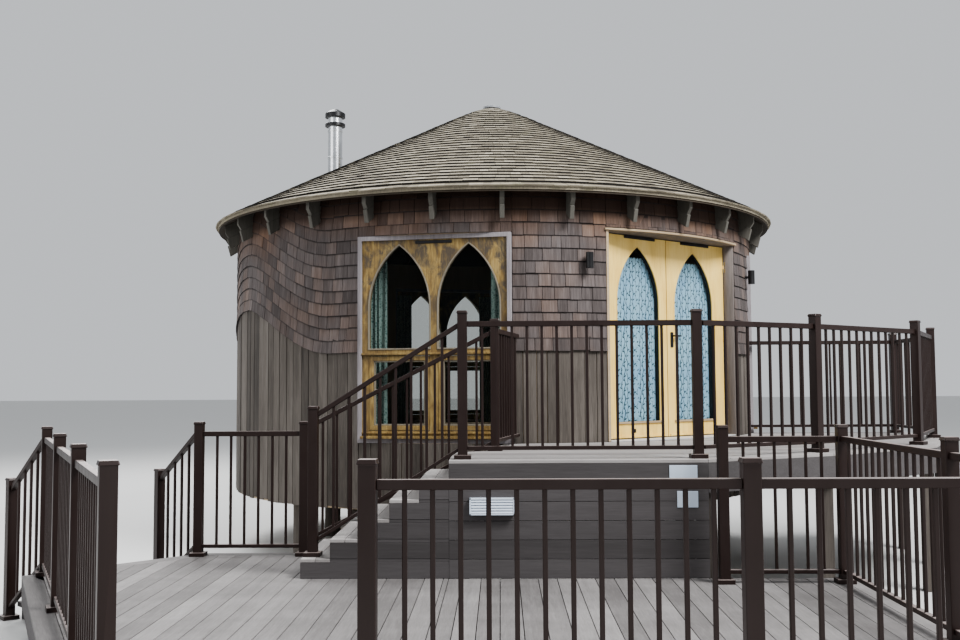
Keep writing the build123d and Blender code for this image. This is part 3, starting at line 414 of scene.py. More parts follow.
def window_timber_finish():
    """Golden-yellow weathered timber, stained near black in patches round the arches."""
    recipe = Recipe("golden_timber", 0.6)
    grain = recipe.noise(80, 0.06, 5, 0.3, 0.65)
    value = recipe.weighed((recipe.noise(9, 0.4, 4, 1.2), 0.5), (grain, 0.5), less=0)
    stops = shades((30, 75, 42, 16), (45, 185, 115, 36), (58, 320, 222, 78), (76, 440, 340, 160))
    arches = recipe.height_fade(0.9, -2.15, stop=0.5, first=0.25)
    blotch = recipe.fade(recipe.noise(6.5, 0.7, 7, 0.6, 0.62), 0.43, 0.54, 0.92)
    fleck = recipe.fade(recipe.noise(38, 0.25, 5, 0.8, 0.7), 0.36, 0.56, first=0.45)
    stain = recipe.sum("MULTIPLY", recipe.sum("MULTIPLY", arches, blotch), fleck)
    colour = recipe.blend(stain, recipe.ramp(value, stops), (0.062, 0.050, 0.038))
    return recipe.done(colour, recipe.bump(grain, 0.0008))


def clear_glass_finish():
    """Double glazing: clear, with a slight grey tint and a mirror sheen."""
    recipe = Recipe("clear_glass", 0.02)
    recipe.done(recipe.ramp(recipe.noise(6, 0.4, 4), shades((30, 15, 20, 22), (80, 30, 36, 36))))
    clear = recipe.node("BsdfTransparent", {"Color": (0.90, 0.91, 0.90)}).outputs[0]
    facing = recipe.node("LayerWeight", {"Blend": 0.5}).outputs["Facing"]
    share = recipe.scaled(recipe.sum("POWER", facing, 5.0), 0.9, 0.06)
    mixed = recipe.node("MixShader", {0: share, 1: clear, 2: recipe.surface.outputs[0]})
    recipe.feed(recipe.tree.nodes["Material Output"], "Surface", mixed.outputs[0])
    return recipe.material


def woven_finish(name, ground, shade):
    """Plain curtain cloth with a fine weave."""
    recipe = Recipe(name, 0.9)
    threads = [recipe.noise(900, stretch, 2, own_grain=True) for stretch in (0.2, (0.2, 1, 1))]
    faded = recipe.fade(recipe.noise(3, detail=2, own_grain=True), 0.3, 0.7)
    recipe.feed(recipe.surface, "Sheen Weight", 0.2)
    relief = recipe.bump(recipe.sum("ADD", *threads), 0.0003)
    return recipe, recipe.blend(faded, ground, shade), relief


def twig_curtain_finish():
    """Pale blue cloth printed with dark teal stems and leaves in upright repeats."""
    recipe, cloth, normal = woven_finish("twig_curtain", (0.40, 0.66, 0.92), (0.52, 0.79, 0.98))
    cloth_place = recipe.split(recipe.place(own_grain=True))
    repeat_w, repeat_h = 0.104, 0.150
    leaf_reach, leaf_lean, leaf_half = 0.115, -0.055, 0.052
    printed = None
    for shift, lift in ((0.0, 0.0), (0.5, 0.43)):
        u = recipe.sum("FRACT", recipe.scaled(cloth_place["X"], 1 / repeat_w, shift))
        v = recipe.sum("FRACT", recipe.scaled(cloth_place["Z"], 1 / repeat_h, lift))
        sway = recipe.sum("SINE", recipe.sum("MULTIPLY", v, 2 * pi))
        stem = recipe.sum("SUBTRACT", u, recipe.scaled(sway, 0.07, 0.5))
        parts = [recipe.sum("LESS_THAN", recipe.sum("ABSOLUTE", stem), 0.034)]
        for side, height in ((1, 0.25), (-1, 0.55), (1, 0.82)):
            x = recipe.scaled(stem, side / leaf_reach, -1.0)
            lean = recipe.scaled(x, leaf_lean, recipe.sum("SUBTRACT", v, height))
            y = recipe.sum("DIVIDE", lean, leaf_half)
            away = recipe.sum("ADD", recipe.sum("MULTIPLY", x, x), recipe.sum("MULTIPLY", y, y))
            parts.append(recipe.sum("LESS_THAN", away, 0.95))
        for part in parts:
            printed = part if printed is None else recipe.sum("MAXIMUM", printed, part)
    colour = recipe.blend(recipe.sum("MULTIPLY", printed, 0.95), cloth, (0.012, 0.045, 0.065))
    return recipe.done(colour, normal)


def window_curtain_finish():
    """Teal cloth with a loose pale diamond repeat."""
    recipe, cloth, normal = woven_finish("teal_curtain", (0.085, 0.165, 0.165), (0.130, 0.225, 0.220))
    flat = recipe.place((1, 0.001, 1), own_grain=True)
    inputs = {"Vector": flat, "Scale": 34.0, "Randomness": 0.8}
    cells = recipe.node("TexVoronoi", inputs, feature="DISTANCE_TO_EDGE").outputs["Distance"]
    lines = recipe.fade(cells, 0.08, 0.22, 0.0, 0.9)
    return recipe.done(recipe.blend(lines, cloth, (0.36, 0.47, 0.44)), normal)


def dotted_finish(name, low, high, roughness, scale, relief=0.001):
    """Lead, cast or moulded surfaces: two shades, speckled."""
    recipe = Recipe(name, roughness)
    speckle = recipe.noise(scale, detail=6)
    value = recipe.weighed((recipe.noise(scale / 10), 0.5), (speckle, 0.5), less=0)
    return recipe.done(recipe.ramp(value, ((0.3, low), (0.7, high))), recipe.bump(speckle, relief))


GREY_BROWN = shades((18, 38, 31, 26), (42, 90, 77, 66), (66, 160, 141, 124), (90, 250, 228, 206))
BOARD_BROWN = shades((18, 38, 31, 26), (42, 96, 82, 70), (66, 178, 157, 138), (90, 300, 274, 246))
DARK_TIMBER = shades((20, 24, 17, 10), (55, 52, 38, 24), (90, 95, 76, 54))
TAIL_GREY = shades((20, 70, 66, 56), (55, 125, 118, 102), (90, 195, 186, 165))
JAMB_BROWN = shades((20, 90, 75, 66), (50, 190, 164, 150), (85, 330, 300, 285))
# One composite in two greys, a lit copy and a shaded copy: the paler DECK_GREY is painted light, the
# darker grey of the lower deck painted shade
DECK_GREY = shades((20, 230, 215, 208), (50, 350, 332, 323), (85, 480, 460, 448))
DECK_PAINTED_SHADE = shades((20, 125, 117, 114), (50, 205, 194, 190), (85, 310, 296, 289))
FASCIA_GREY = shades((20, 52, 47, 47), (50, 82, 75, 76), (85, 122, 113, 113))
TRIM_LILAC = shades((20, 170, 152, 160), (50, 320, 296, 306), (85, 480, 455, 465))
PALE_PINE = shades((20, 300, 220, 135), (50, 430, 335, 225), (85, 560, 460, 330))
BEAD_GREY = shades((20, 120, 100, 70), (50, 235, 208, 160), (85, 380, 350, 295))

COURSE = 0.130
roof_shingle = roof_shingle_finish()
wall_shingle = wall_shingle_finish()
wall_board = board_finish("weathered_board", BOARD_BROWN, own_grain=True, stain=0.30)
rough_timber = board_finish("framing_timber", GREY_BROWN)
eave_timber = board_finish("eave_timber", DARK_TIMBER)
tail_timber = board_finish("rafter_timber", TAIL_GREY)
joist_timber = board_finish("joist_timber", GREY_BROWN, "x")
bearer_timber = board_finish("bearer_timber", GREY_BROWN, "y")
trim_upright = board_finish("lilac_trim", TRIM_LILAC, rough=0.7)
jamb_timber = board_finish("jamb_timber", JAMB_BROWN, fine=60, stain=0.3)
trim_board = board_finish("tan_trim", PALE_PINE, "x", True, rough=0.65)
arch_bead = board_finish("grey_bead", BEAD_GREY, rough=0.6)
inner_lining = board_finish("pine_lining", PALE_PINE, rough=0.6)
floor_board = board_finish("room_floor", PALE_PINE, "y", rough=0.5)
planed = {"along": "x", "own_grain": True, "relief": 0.0008, "rough": 0.7}
deck_board = board_finish("composite_deck", DECK_GREY, stain=0.2, **planed)
# The lower deck's boards: the darker, painted-shade copy of the composite
deck_board_painted_shade = board_finish("composite_deck_painted_shade", DECK_PAINTED_SHADE, stain=0.3, **planed)
fascia_board = board_finish("composite_fascia", FASCIA_GREY, "x", True, relief=0.0006, stain=0.12)
fascia_plain = board_finish("composite_plain", FASCIA_GREY, "x", stain=0.12)
door_paint = door_paint_finish()
window_timber = window_timber_finish()
# The bronze takes the painted highlight on its faces that look up
bronze = painted_metal("bronze_coating", (0.021, 0.0100, 0.0080), wear=0.10, top_highlight=0.6)
iron = painted_metal("dark_iron", (0.012, 0.011, 0.012), 0.42, 0.3)
lamp_black = painted_metal("lamp_coating", (0.008, 0.008, 0.009), 0.35)
hinge_metal = painted_metal("satin_hinge", (0.30, 0.26, 0.19), metallic=0.7)
pale_plastic = dotted_finish("pale_vent", (0.60, 0.67, 0.76), (0.70, 0.77, 0.86), 0.45, 30, 0.0002)
steel = steel_finish()
lead = dotted_finish("lead_grey", (0.20, 0.21, 0.22), (0.33, 0.34, 0.36), 0.5, 18)
plate_finish = dotted_finish("blank_plate", (0.52, 0.60, 0.70), (0.60, 0.68, 0.78), 0.35, 12, 0.0001)
sill_metal = dotted_finish("threshold_metal", (0.50, 0.50, 0.51), (0.62, 0.62, 0.63), 0.4, 12, 0.0001)
glass = clear_glass_finish()
twig_curtain = twig_curtain_finish()
teal_curtain = window_curtain_finish()

POSTS = ("upper_posts", "lower_posts")
PANELS = ("upper_panels", "lower_panels", "stair_panels", "garden_panels")
LEVER = ("lever_plates", "door_lever")
WALL_SIDES = ("front", "right", "back_right", "back", "left_back", "left_front")
WALLS = tuple(side + "_wall" for side in WALL_SIDES)
NODE_FINISH = {
    rough_timber: ("cabin_posts", "lower_piers", "upper_piers"),
    eave_timber: ("crown_ring", "eaves_blocks", "roof"),
    tail_timber: ("rafters",),
    joist_timber: ("floor_joists", "upper_joists", "lower_joists", "upper_rims", "lower_rims"),
    bearer_timber: ("floor_bearers",),
    inner_lining: WALLS + ("wall_infills", "ring_beam"),
    floor_board: ("floor",),
    trim_upright: ("window_surrounds",),
    jamb_timber: ("door_surround", "door_stops"),
    fascia_plain: ("upper_fascia", "lower_fascia", "stair_risers", "garden_steps"),
    door_paint: ("door_leaf_left", "door_leaf_right"),
    window_timber: ("window_frames",),
    glass: ("window_glass", "door_glass_left", "door_glass_right"),
    bronze: POSTS + PANELS,
    iron: LEVER,
    hinge_metal: ("hinge_pins",),
    lamp_black: ("wall_lights",),
    steel: ("flue",),
    lead: ("flue_flashing", "roof_cap"),
    sill_metal: ("door_threshold",),
}
for finish, names in NODE_FINISH.items():
    for name in names:
        for slot in NODES[name].material_slots:
            slot.material = finish

# Solids whose sharp edges are rounded, with the width and the number of steps
ROUNDED = (
    (POSTS, 0.004, 2),
    (PANELS, 0.003, 1),
    (("window_surrounds", "door_surround", "garden_steps"), 0.004, 1),
    (LEVER, 0.002, 2),
)
for names, width, segments in ROUNDED:
    for name in names:
        NODES[name].modifiers.new("joined", "WELD").merge_threshold = 0.0001
        soften(NODES[name], width, segments)

# Roof: courses of split shingles from the eave to the cap
SHINGLE_TIP = 0.005
SHINGLE_WIDEST = 0.165
SHINGLE_GAP = 0.0015
TOP_COURSE_R = 0.19
CAP_R = 0.118
LAST_GAP = 1.2


def roof_top(r):
    """Height of the roof's bare face at a distance from the cabin's axis."""
    return EAVE_TOP + (EAVE_R - r) * tan(ROOF_PITCH)


def shingle_shape(length, butt, tip, narrow=1.0):
    """Corners of a split shingle: thick at its butt, thin and a little narrower at its tip."""

    def shape(co):
        up = co.z / length
        thick = butt + (tip - butt) * up
        lift = 0.2 * butt * (1 - up)
        y = -thick if co.y < -0.5 else -lift
        return (co.x * (1 + (narrow - 1) * up), y, co.z)

    return shape


def roof_shingles():
    """All the roof's shingles, course by course up the slope, over a short course at the eave."""
    heap = new_heap()
    rise = heap.verts.layers.float["rise"]
    lean = Matrix.Rotation(ROOF_PITCH - pi / 2, 4, "X")
    slope = (EAVE_R - TOP_COURSE_R) / cos(ROOF_PITCH)
    courses = round(slope / 0.12)
    exposure = slope / courses
    starts = [(-0.035, 0.10, 0.016, -0.012)]
    for k in range(courses):
        starts.append((k * exposure - 0.018, exposure * 2.15, 0.033 if k else 0.021, 0.0))
    for row, (butt_at, length, butt, sink) in enumerate(starts):
        r = EAVE_R - butt_at * cos(ROOF_PITCH)
        angle = chance.uniform(0, 10)
        end = angle + 360
        while angle < end - 0.5:
            widest = min(SHINGLE_WIDEST, 2.2 * r * 0.16)
            width = chance.uniform(0.55, 1.0) * widest
            step = degrees(width / r)
            if end - angle - step < LAST_GAP:
                step = end - angle
                width = radians(step) * r
            at = butt_at + chance.gauss(0, 0.002)
            reach = min(length, slope + 0.09 - at)
            here = EAVE_R - at * cos(ROOF_PITCH)
            place = place_at(angle + step / 2, here, roof_top(here) - sink) @ lean
            place = place @ Matrix.Rotation(chance.gauss(0, 0.004), 4, "Y")
            narrow = max(0.2, (here - reach * cos(ROOF_PITCH)) / here)
            half = width / 2 - SHINGLE_GAP
            thick = (butt + chance.uniform(-0.002, 0.002)) * min(1, 0.45 + 1.1 * here)
            shape = shingle_shape(reach, thick, SHINGLE_TIP, narrow)
            made = slab(heap, (-half, -1, 0), (half, 0, reach), place, some_shade(0.22), shape)
            # The starter row and the first course are kept clear of the painted shade on their sawn ends
            if row < 2:
                for corner in made:
                    corner[rise] += 0.01
            angle += step
    settle(heap, "roof_shingles", roof_shingle, "roof_shingle")


def ring(heap, corners):
    """A closed ring round the cabin's axis from a profile of (distance, height) corners."""
    profile = [heap.verts.new((r, 0, z)) for r, z in corners]
    edges = [heap.edges.new(pair) for pair in zip(profile, profile[1:] + profile[:1])]
    turn = {"axis": (0, 0, 1), "cent": (0, 0, 0), "angle": 2 * pi, "steps": 120}
    bmesh.ops.spin(heap, geom=profile + edges, use_merge=True, **turn)
    bmesh.ops.remove_doubles(heap, verts=heap.verts, dist=0.0002)
    bmesh.ops.recalc_face_normals(heap, faces=heap.faces)
    # A height up the board past the painted shade of the shingles, so the ring gets none of it
    rise = heap.verts.layers.float["rise"]
    for corner in heap.verts:
        corner[rise] = 0.05


def roof_edges():
    """The pale strip round the eave, the cap over the top course, and the deep rafter tails."""
    strip = new_heap()
    foot, head = 3.861, 3.892
    ring(strip, ((EAVE_R, foot), (3.511, foot), (3.513, head), (EAVE_R, head)))
    paint(strip, strip.verts, 0.55)
    settle(strip, "eave_strip", roof_shingle, "roof_shingle")
    top = roof_top(CAP_R)
    cap = new_heap()
    rod(cap, CAP_R, top + 0.012, top + 0.040)
    rod(cap, CAP_R, top + 0.040, top + 0.072, top=0.030)
    settle(cap, "lead_cap", lead, "cap_lead", bevel=0.004, instead_of="roof_cap")

    def shape(co):
        nose = 0.035 if co.y < -0.1 and co.z < 0.05 else 0
        return (co.x, co.y + nose, co.z + co.y * tan(ROOF_PITCH))

    tails = new_heap()
    for k in range(RAFTERS):
        place = place_at(2 + 360 / RAFTERS * k, WALL_R, RAFTER_FOOT_Z)
        slab(tails, (-0.024, -0.165, 0), (0.024, -0.002, 0.13), place, shape=shape)
    settle(tails, "rafter_tails", tail_timber, "frame_timber", bevel=0.004)


roof_shingles()
roof_edges()

# Wall cladding: shingles above, upright boards below, and between them a line that waves
WAVE_FOOT = 2.27
WAVE_RISE = 0.535
CLADDING_TOP = 3.935
WINDOW_REACH = degrees(asin(WINDOW_W / 2 / WALL_R))
OPENINGS = [(a - WINDOW_REACH, a + WINDOW_REACH, WINDOW_TOP) for a in WINDOW_ANGLES]
DOOR_SIDES = [DOOR_ANGLE + degrees(asin((DOOR_SHIFT + u) / WALL_R)) for u in (-DOOR_HALF_W, DOOR_HALF_W)]
OPENINGS.append((*DOOR_SIDES, DOOR_HEAD_Z))


def ease(value):
    """A smooth step from 0 to 1."""
    value = min(1, max(0, value))
    return value * value * (3 - 2 * value)


def wave(angle):
    """Height of the lowest shingle course at an angle: level, but for a crest on the left."""
    left = -((angle + 180) % 360 - 180)
    return WAVE_FOOT + WAVE_RISE * ease((left - 31) / 29) * (1 - ease((left - 61) / 39))


def opening_head(start, stop):
    """Height of the head of the opening that a stretch of wall runs over, or nothing."""
    for left, right, head in OPENINGS:
        if ((start + stop) / 2 - left) % 360 < right - left:
            return head
    return None


def runs_round(narrow, wide):
    """Start and end angles of pieces round the wall, with a joint at each side of an opening."""
    sides = sorted((side + 180) % 360 - 180 for opening in OPENINGS for side in opening[:2])
    sides.append(sides[0] + 360)
    for first, last in zip(sides, sides[1:]):
        angle = first
        while angle < last - 0.01:
            step = degrees(chance.uniform(narrow, wide) / WALL_R)
            if last - angle - step < degrees(narrow / WALL_R):
                step = last - angle if last - angle < degrees(wide / WALL_R) else (last - angle) / 2
            yield angle, angle + step
            angle += step


def wall_shingles():
    """Courses of shingles that follow the wave, over a short thin one, up between the rafters."""
    heap = new_heap()
    for k in range(-1, 13):
        for start, stop in runs_round(0.095, 0.20):
            middle = (start + stop) / 2
            width = radians(stop - start) * WALL_R
            low = wave(middle) + max(k, 0) * COURSE + (0.014 if k < 0 else chance.gauss(0, 0.002))
            head = opening_head(start, stop)
            if head:
                if low + COURSE < head + 0.02:
                    continue
                low = max(low, head + 0.002)
            length = min(0.16 if k < 0 else 0.30, CLADDING_TOP - low)
            if length < 0.03:
                continue
            half = width / 2 - 0.0016
            butt = 0.013 if k < 0 else 0.024 + chance.uniform(-0.002, 0.003)
            taper = shingle_shape(length, butt, 0.004)
            out = 0.011 if k == 0 else 0.0
            lean = (wave(stop) - wave(start)) / width if length > 0.12 else 0

            def shape(co):
                x, y, z = taper(co)
                return (x, y - out * (1 - co.z / length), z + lean * x)

            place = place_at(middle, WALL_R, low) @ Matrix.Rotation(chance.gauss(0, 0.003), 4, "Y")
            slab(heap, (-half, -1, 0), (half, 0, length), place, some_shade(0.24), shape)
    settle(heap, "wall_shingles", wall_shingle, "wall_timber", bevel=0.0012)


def wall_boards():
    """Upright boards from the hem to the shingles, with dark joints between them."""
    heap = new_heap()
    for start, stop in runs_round(0.095, 0.15):
        middle = (start + stop) / 2
        foot = HEM_Z + chance.uniform(-0.004, 0.022)
        high = UPPER_Z if opening_head(start, stop) else wave(middle) + 0.085
        half = radians(stop - start) * WALL_R / 2 - chance.uniform(0.0015, 0.005)
        thick = chance.uniform(0.009, 0.018)
        place = place_at(middle, WALL_R + 0.0005, foot)
        slab(heap, (-half, -thick, 0), (half, 0, high - foot), place, some_shade(0.26))
    settle(heap, "wall_boards", wall_board, "wall_timber", bevel=0.0015)


wall_shingles()
wall_boards()

# Windows: beads round each light, a sill, a vent slot at the head
ARCH_STEPS = 10


def arch_line(width, foot, spring, apex, grow=0.0):
    """Points round a pointed light, from its left foot over its apex to its right foot."""
    half = width / 2 + grow
    rise = apex - spring
    radius = (rise * rise + width * width / 4) / width + grow
    top = asin(sqrt(radius * radius - (radius - half) ** 2) / radius)
    turns = [top * i / ARCH_STEPS for i in range(ARCH_STEPS + 1)]
    right = [(half - radius + radius * cos(turn), spring + radius * sin(turn)) for turn in turns]
    left = [(-x, z) for x, z in right[:-1]]
    return [(-half, foot - grow)] + left + right[::-1] + [(half, foot - grow)]


def box_line(half, foot, head):
    """Corners of a square light."""
    return [(-half, foot), (-half, head), (half, head), (half, foot)]


def bead(heap, outer, inner, low, high, place):
    """A moulding between two lines of the same count, round a light, of a set thickness."""
    loops = []
    for line, depth in ((outer, low), (outer, high), (inner, high), (inner, low)):
        loops.append([heap.verts.new((x, -depth, z)) for x, z in line])
    count = len(outer)
    for i in range(count):
        j = (i + 1) % count
        for a, b in zip(loops, loops[1:] + loops[:1]):
            heap.faces.new((a[i], a[j], b[j], b[i]))
    made = [corner for loop in loops for corner in loop]
    paint(heap, made, 0.5)
    bmesh.ops.recalc_face_normals(heap, faces=heap.faces)
    bmesh.ops.transform(heap, matrix=place, verts=made)


def window_trim():
    """Mouldings round the arches, sashes in the lower lights, sills and head vents of the windows."""
    beads, mouldings, vents = (new_heap() for _ in range(3))
    apex = UPPER_Z + 2.02
    upper = (WINDOW_LIGHT_W, UPPER_Z + 0.955, apex - 0.64, apex)
    foot, head = UPPER_Z + 0.125, UPPER_Z + 0.885
    half = WINDOW_LIGHT_W / 2
    # Sashes: their heap, inset and width, and how far they stand out. Bars: that, and their edges
    sashes = ((beads, 0.004, 0.046, 0.004), (mouldings, 0.050, 0.016, -0.006))
    bars = (
        (0.030, head + 0.008, head + 0.030),
        (0.018, foot - 0.032, foot - 0.014),
        (0.075, UPPER_Z + 0.045, UPPER_Z + 0.070),
    )
    bar_half = 0.758
    vent_half = 0.19
    for angle in WINDOW_ANGLES:
        place = place_at(angle, WINDOW_PLANE - FRAME_SETBACK, 0)
        for x in (-WINDOW_LIGHT_X, WINDOW_LIGHT_X):
            side = place @ Matrix.Translation((x, 0, 0))
            bead(mouldings, arch_line(*upper, 0.010), arch_line(*upper, -0.006), -0.03, 0.008, side)
            for heap, inset, wide, out in sashes:
                outer = box_line(half - inset, foot + inset, head - inset)
                inner = box_line(half - inset - wide, foot + inset + wide, head - inset - wide)
                bead(heap, outer, inner, -0.045, out, side)
        for out, low, high in bars:
            slab(beads, (-bar_half, -out, low), (bar_half, 0.0, high), place)
        low, high = WINDOW_TOP - 0.088, WINDOW_TOP - 0.058
        slab(vents, (-vent_half, -0.012, low), (vent_half, 0.0, high), place)
    settle(beads, "window_beads", window_timber, "honey_timber", bevel=0.003)
    settle(mouldings, "window_mouldings", arch_bead, "trim_timber", bevel=0.003)
    settle(vents, "window_vents", iron, "hinge_dark", bevel=0.002)


window_trim()

# Curtains
CLOTH_STEPS = 400
CLOTH_ROWS = 14


def curtain(name, place, left, right, foot, head, fold, depth, material, body, node, rail):
    """A curtain gathered in upright folds, hung inside a light."""
    heap = new_heap()
    width = right - left
    columns = max(24, round(width / fold * 12))
    made = bmesh.ops.create_grid(heap, x_segments=columns, y_segments=CLOTH_ROWS, size=0.5)["verts"]
    shade = heap.verts.layers.float["tone"]
    grain = heap.verts.layers.float_vector["grain"]

    def folded(s, t):
        """How far the cloth stands in or out at a share of its width and height."""
        x = width * s
        deep = 0.55 + 0.45 * (1 - t)
        return depth * deep * sin(2 * pi * x / fold + 1.1 * sin(2.3 * x / fold + 2 * t))

    steps = range(CLOTH_STEPS + 1)
    points = [Vector((width * i / CLOTH_STEPS, folded(i / CLOTH_STEPS, 0.4), 0)) for i in steps]
    lengths = [0.0]
    for a, b in zip(points, points[1:]):
        lengths.append(lengths[-1] + (b - a).length)
    for corner in made:
        s, t = corner.co.x + 0.5, corner.co.y + 0.5
        spot = lengths[min(CLOTH_STEPS, round(s * CLOTH_STEPS))]
        corner[shade] = 0.5
        corner[grain] = Vector((spot, 0, (head - foot) * t))
        corner.co = place @ Vector((left + width * s, folded(s, t), foot + (head - foot) * t))
    piece = settle(heap, name, material, "curtain", body, instead_of=node)
    piece.data.shade_smooth()


# Doors: light beads, sills, a black lining of painted shade in each light's reveal, head vents and
# curtains on each leaf
def door_dress(side, body):
    """What is fixed to one leaf. side is -1 for the left leaf and 1 for the right."""
    hand = "left" if side < 0 else "right"
    middle = side * LIGHT_MIDDLE
    place = door_place(DOOR_PLANE, LEAF_FOOT, middle)
    light = (LIGHT_W, LIGHT_SILL, LIGHT_SPRING, LIGHT_APEX)
    inner = arch_line(*light, -0.006)
    trim = new_heap()
    bead(trim, arch_line(*light, 0.006), inner, -0.012, 0.004, place)
    leaf_place = door_place(DOOR_PLANE, LEAF_FOOT, side * LEAF_MIDDLE)
    slab(trim, (-0.47, -0.014, 0.004), (0.47, 0.0, 0.026), leaf_place)
    settle(trim, f"door_beads_{hand}", door_paint, "honey_timber", body, bevel=0.002)
    sill = new_heap()
    slab(sill, (-0.35, -0.018, LIGHT_SILL - 0.014), (0.35, 0.0, LIGHT_SILL + 0.007), place)
    settle(sill, f"door_sill_{hand}", trim_board, "trim_timber", body, bevel=0.002)
    # Painted shade: a black lining round the light's reveal, from the glass's front face to the back of
    # the leaf
    reveal_shade = new_heap()
    bead(reveal_shade, arch_line(*light, -0.0005), inner, -LEAF_T, -GLASS_FRONT, place)
    settle(reveal_shade, f"door_reveal_shade_{hand}", lamp_black, "lamp_black", body)
    vent = new_heap()
    slab(vent, (-0.21, -0.012, LEAF_H - 0.028), (0.27, 0.0, LEAF_H + 0.002), place)
    if side < 0:
        slab(vent, (-0.105, -0.006, 0.055), (-0.065, 0.0, 0.095), place)
    settle(vent, f"door_vent_{hand}", iron, "hinge_dark", body, bevel=0.002)
    inside = door_place(DOOR_PLANE - LEAF_T - 0.014, LEAF_FOOT)
    half = LIGHT_W / 2 + 0.012
    reach = (middle - half, middle + half - 0.012, 0.14, 1.915, 0.078, 0.008)
    owner = (twig_curtain, body, f"door_curtain_{hand}", f"door_leaf_{hand}")
    curtain(f"twig_curtain_{hand}", inside, *reach, *owner)


def window_curtains():
    """A pair of gathered curtains inside each window."""
    owner = (teal_curtain, "root", "window_curtains", "window_surrounds")
    for number, angle in enumerate(WINDOW_ANGLES, 1):
        plane = place_at(angle, WINDOW_PLANE, UPPER_Z) @ Matrix.Translation((0, 0.228, 0))
        for hand, left in (("left", -0.78), ("right", 0.55)):
            reach = (left, left + 0.23, 0.01, 2.0, 0.055, 0.02)
            curtain(f"window_curtain_{hand}_{number}", plane, *reach, *owner)


def door_head_trim():
    """The thin tan board bent round the wall over the doors, and the strip down their left jamb."""
    heap = new_heap()
    first, last = DOOR_SIDES
    face = WALL_R + 0.0145
    count = 18
    step = (last - first + 0.6) / count
    half = radians(step) * (WALL_R + 0.05) / 2
    for i in range(count):
        place = place_at(first - 0.3 + step * i + step / 2, face, DOOR_HEAD_Z - 0.028)
        slab(heap, (-half, -0.030, 0), (half, 0.0, 0.022), place, 0.35)
    bmesh.ops.remove_doubles(heap, verts=heap.verts, dist=0.004)
    jamb = place_at(first + 0.28, face, UPPER_Z)
    slab(heap, (-0.014, -0.008, 0.002), (0.014, 0.0, DOOR_HEAD_Z - UPPER_Z - 0.03), jamb, 0.8)
    settle(heap, "door_head_trim", trim_board, "trim_timber", bevel=0.002)


door_dress(-1, "door_left")
door_dress(1, "door_right")
window_curtains()
door_head_trim()

# Decks: boards with open joints, and mitred border boards round them
BORDER = 0.145
BORDER_IN = BORDER + 0.004
PITCH = 0.145
JOINT = 0.005
HALF_JOINT = 0.0015
LOWER_RIGHT_X = 2.8
LOWER_EDGE = [(STAIR_TOP_X, DECK_BACK_Y), (-2.560, DECK_BACK_Y), (-3.687, -5.445), (-1.659, -9.5)]
LOWER_EDGE += [(LOWER_RIGHT_X, -9.5), (LOWER_RIGHT_X, FRONT_Y)]
RAILING_LINE = [(-0.210, -5.44), (1.64, -5.44), (2.77, -4.77), (4.02, -3.74), (4.69, -2.44), (4.73, -1.25)]


def lerp(a, b, share):
    """A point part of the way from one to another."""
    return tuple(p + (q - p) * share for p, q in zip(a, b))


def offset_line(points, distance):
    """Corners of an open plan line moved to its left by a distance and mitred."""
    moved = []
    last = len(points) - 1
    for i in range(len(points)):
        a = Vector(points[max(i - 1, 0)])
        b = Vector(points[i])
        c = Vector(points[min(i + 1, last)])
        before = (b - a).normalized() if i else (c - b).normalized()
        after = (c - b).normalized() if i < last else before
        n1 = Vector((-before.y, before.x))
        n2 = Vector((-after.y, after.x))
        shift = (n1 + n2) * (distance / (1 + n1.dot(n2)))
        moved.append((b.x + shift.x, b.y + shift.y))
    return moved


def edge_run(heap, points, far, low, high):
    """Mitred boards along a plan line, reaching a distance to its left."""
    outer = offset_line(points, 0.0)
    inner = offset_line(points, far)
    for i in range(len(points) - 1):
        length = hypot(outer[i + 1][0] - outer[i][0], outer[i + 1][1] - outer[i][1])
        share = HALF_JOINT / length

        def shape(co):
            along = share + (1 - 2 * share) * co.x / length
            front = lerp(outer[i], outer[i + 1], along)
            back = lerp(inner[i], inner[i + 1], along)
            return (*lerp(front, back, co.y / far), co.z)

        slab(heap, (0, 0, low), (length, far, high), shape=shape)


def across(points, x):
    """Height in plan of a line of points at a distance across, held level past its ends."""
    for a, b in zip(points, points[1:]):
        if a[0] <= x <= b[0]:
            return a[1] + (b[1] - a[1]) * (x - a[0]) / (b[0] - a[0])
    return points[0][1] if x < points[0][0] else points[-1][1]


def finish_boards(heap, name, material, node):
    """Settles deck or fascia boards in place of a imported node."""
    slot, bevel = ("fascia_boards", 0.0015) if material == fascia_board else ("deck_boards", 0.002)
    settle(heap, name, material, slot, bevel=bevel, instead_of=node)


def lower_deck_boards():
    """Boards along the lower deck, front to back, inside a border at its open edges."""
    heap = new_heap()
    near = offset_line(LOWER_EDGE[2:5], BORDER_IN)
    far = offset_line(LOWER_EDGE[:3], BORDER_IN)[::-1]
    left = near[0][0] + 0.01
    for i in range(ceil((LOWER_RIGHT_X - BORDER - left) / PITCH)):
        x0 = left + i * PITCH
        x1 = min(x0 + PITCH - JOINT, LOWER_RIGHT_X - BORDER - 0.004)
        for x_low, x_high in ((x0, min(x1, STAIR_TOP_X - JOINT)), (max(x0, STAIR_TOP_X), x1)):
            if x_high - x_low < 0.02:
                continue
            right = x_low >= STAIR_TOP_X

            def shape(co):
                back = FRONT_Y - 0.004 if right else across(far, co.x)
                return (co.x, across(near, co.x) if co.y < 0 else back, co.z)

            middle = (x_low + x_high) / 2
            if across(near, middle) > across(far, middle) - 0.05 and not right:
                continue
            slab(heap, (x_low, -1, LOWER_Z - BOARD_T), (x_high, 1, LOWER_Z), shape=shape)
    turn_grain(heap, 1.0)
    edge_run(heap, LOWER_EDGE, BORDER, LOWER_Z - BOARD_T, LOWER_Z)
    # The lower deck takes the composite's painted-shade copy
    finish_boards(heap, "lower_deck_boards", deck_board_painted_shade, "lower_deck")


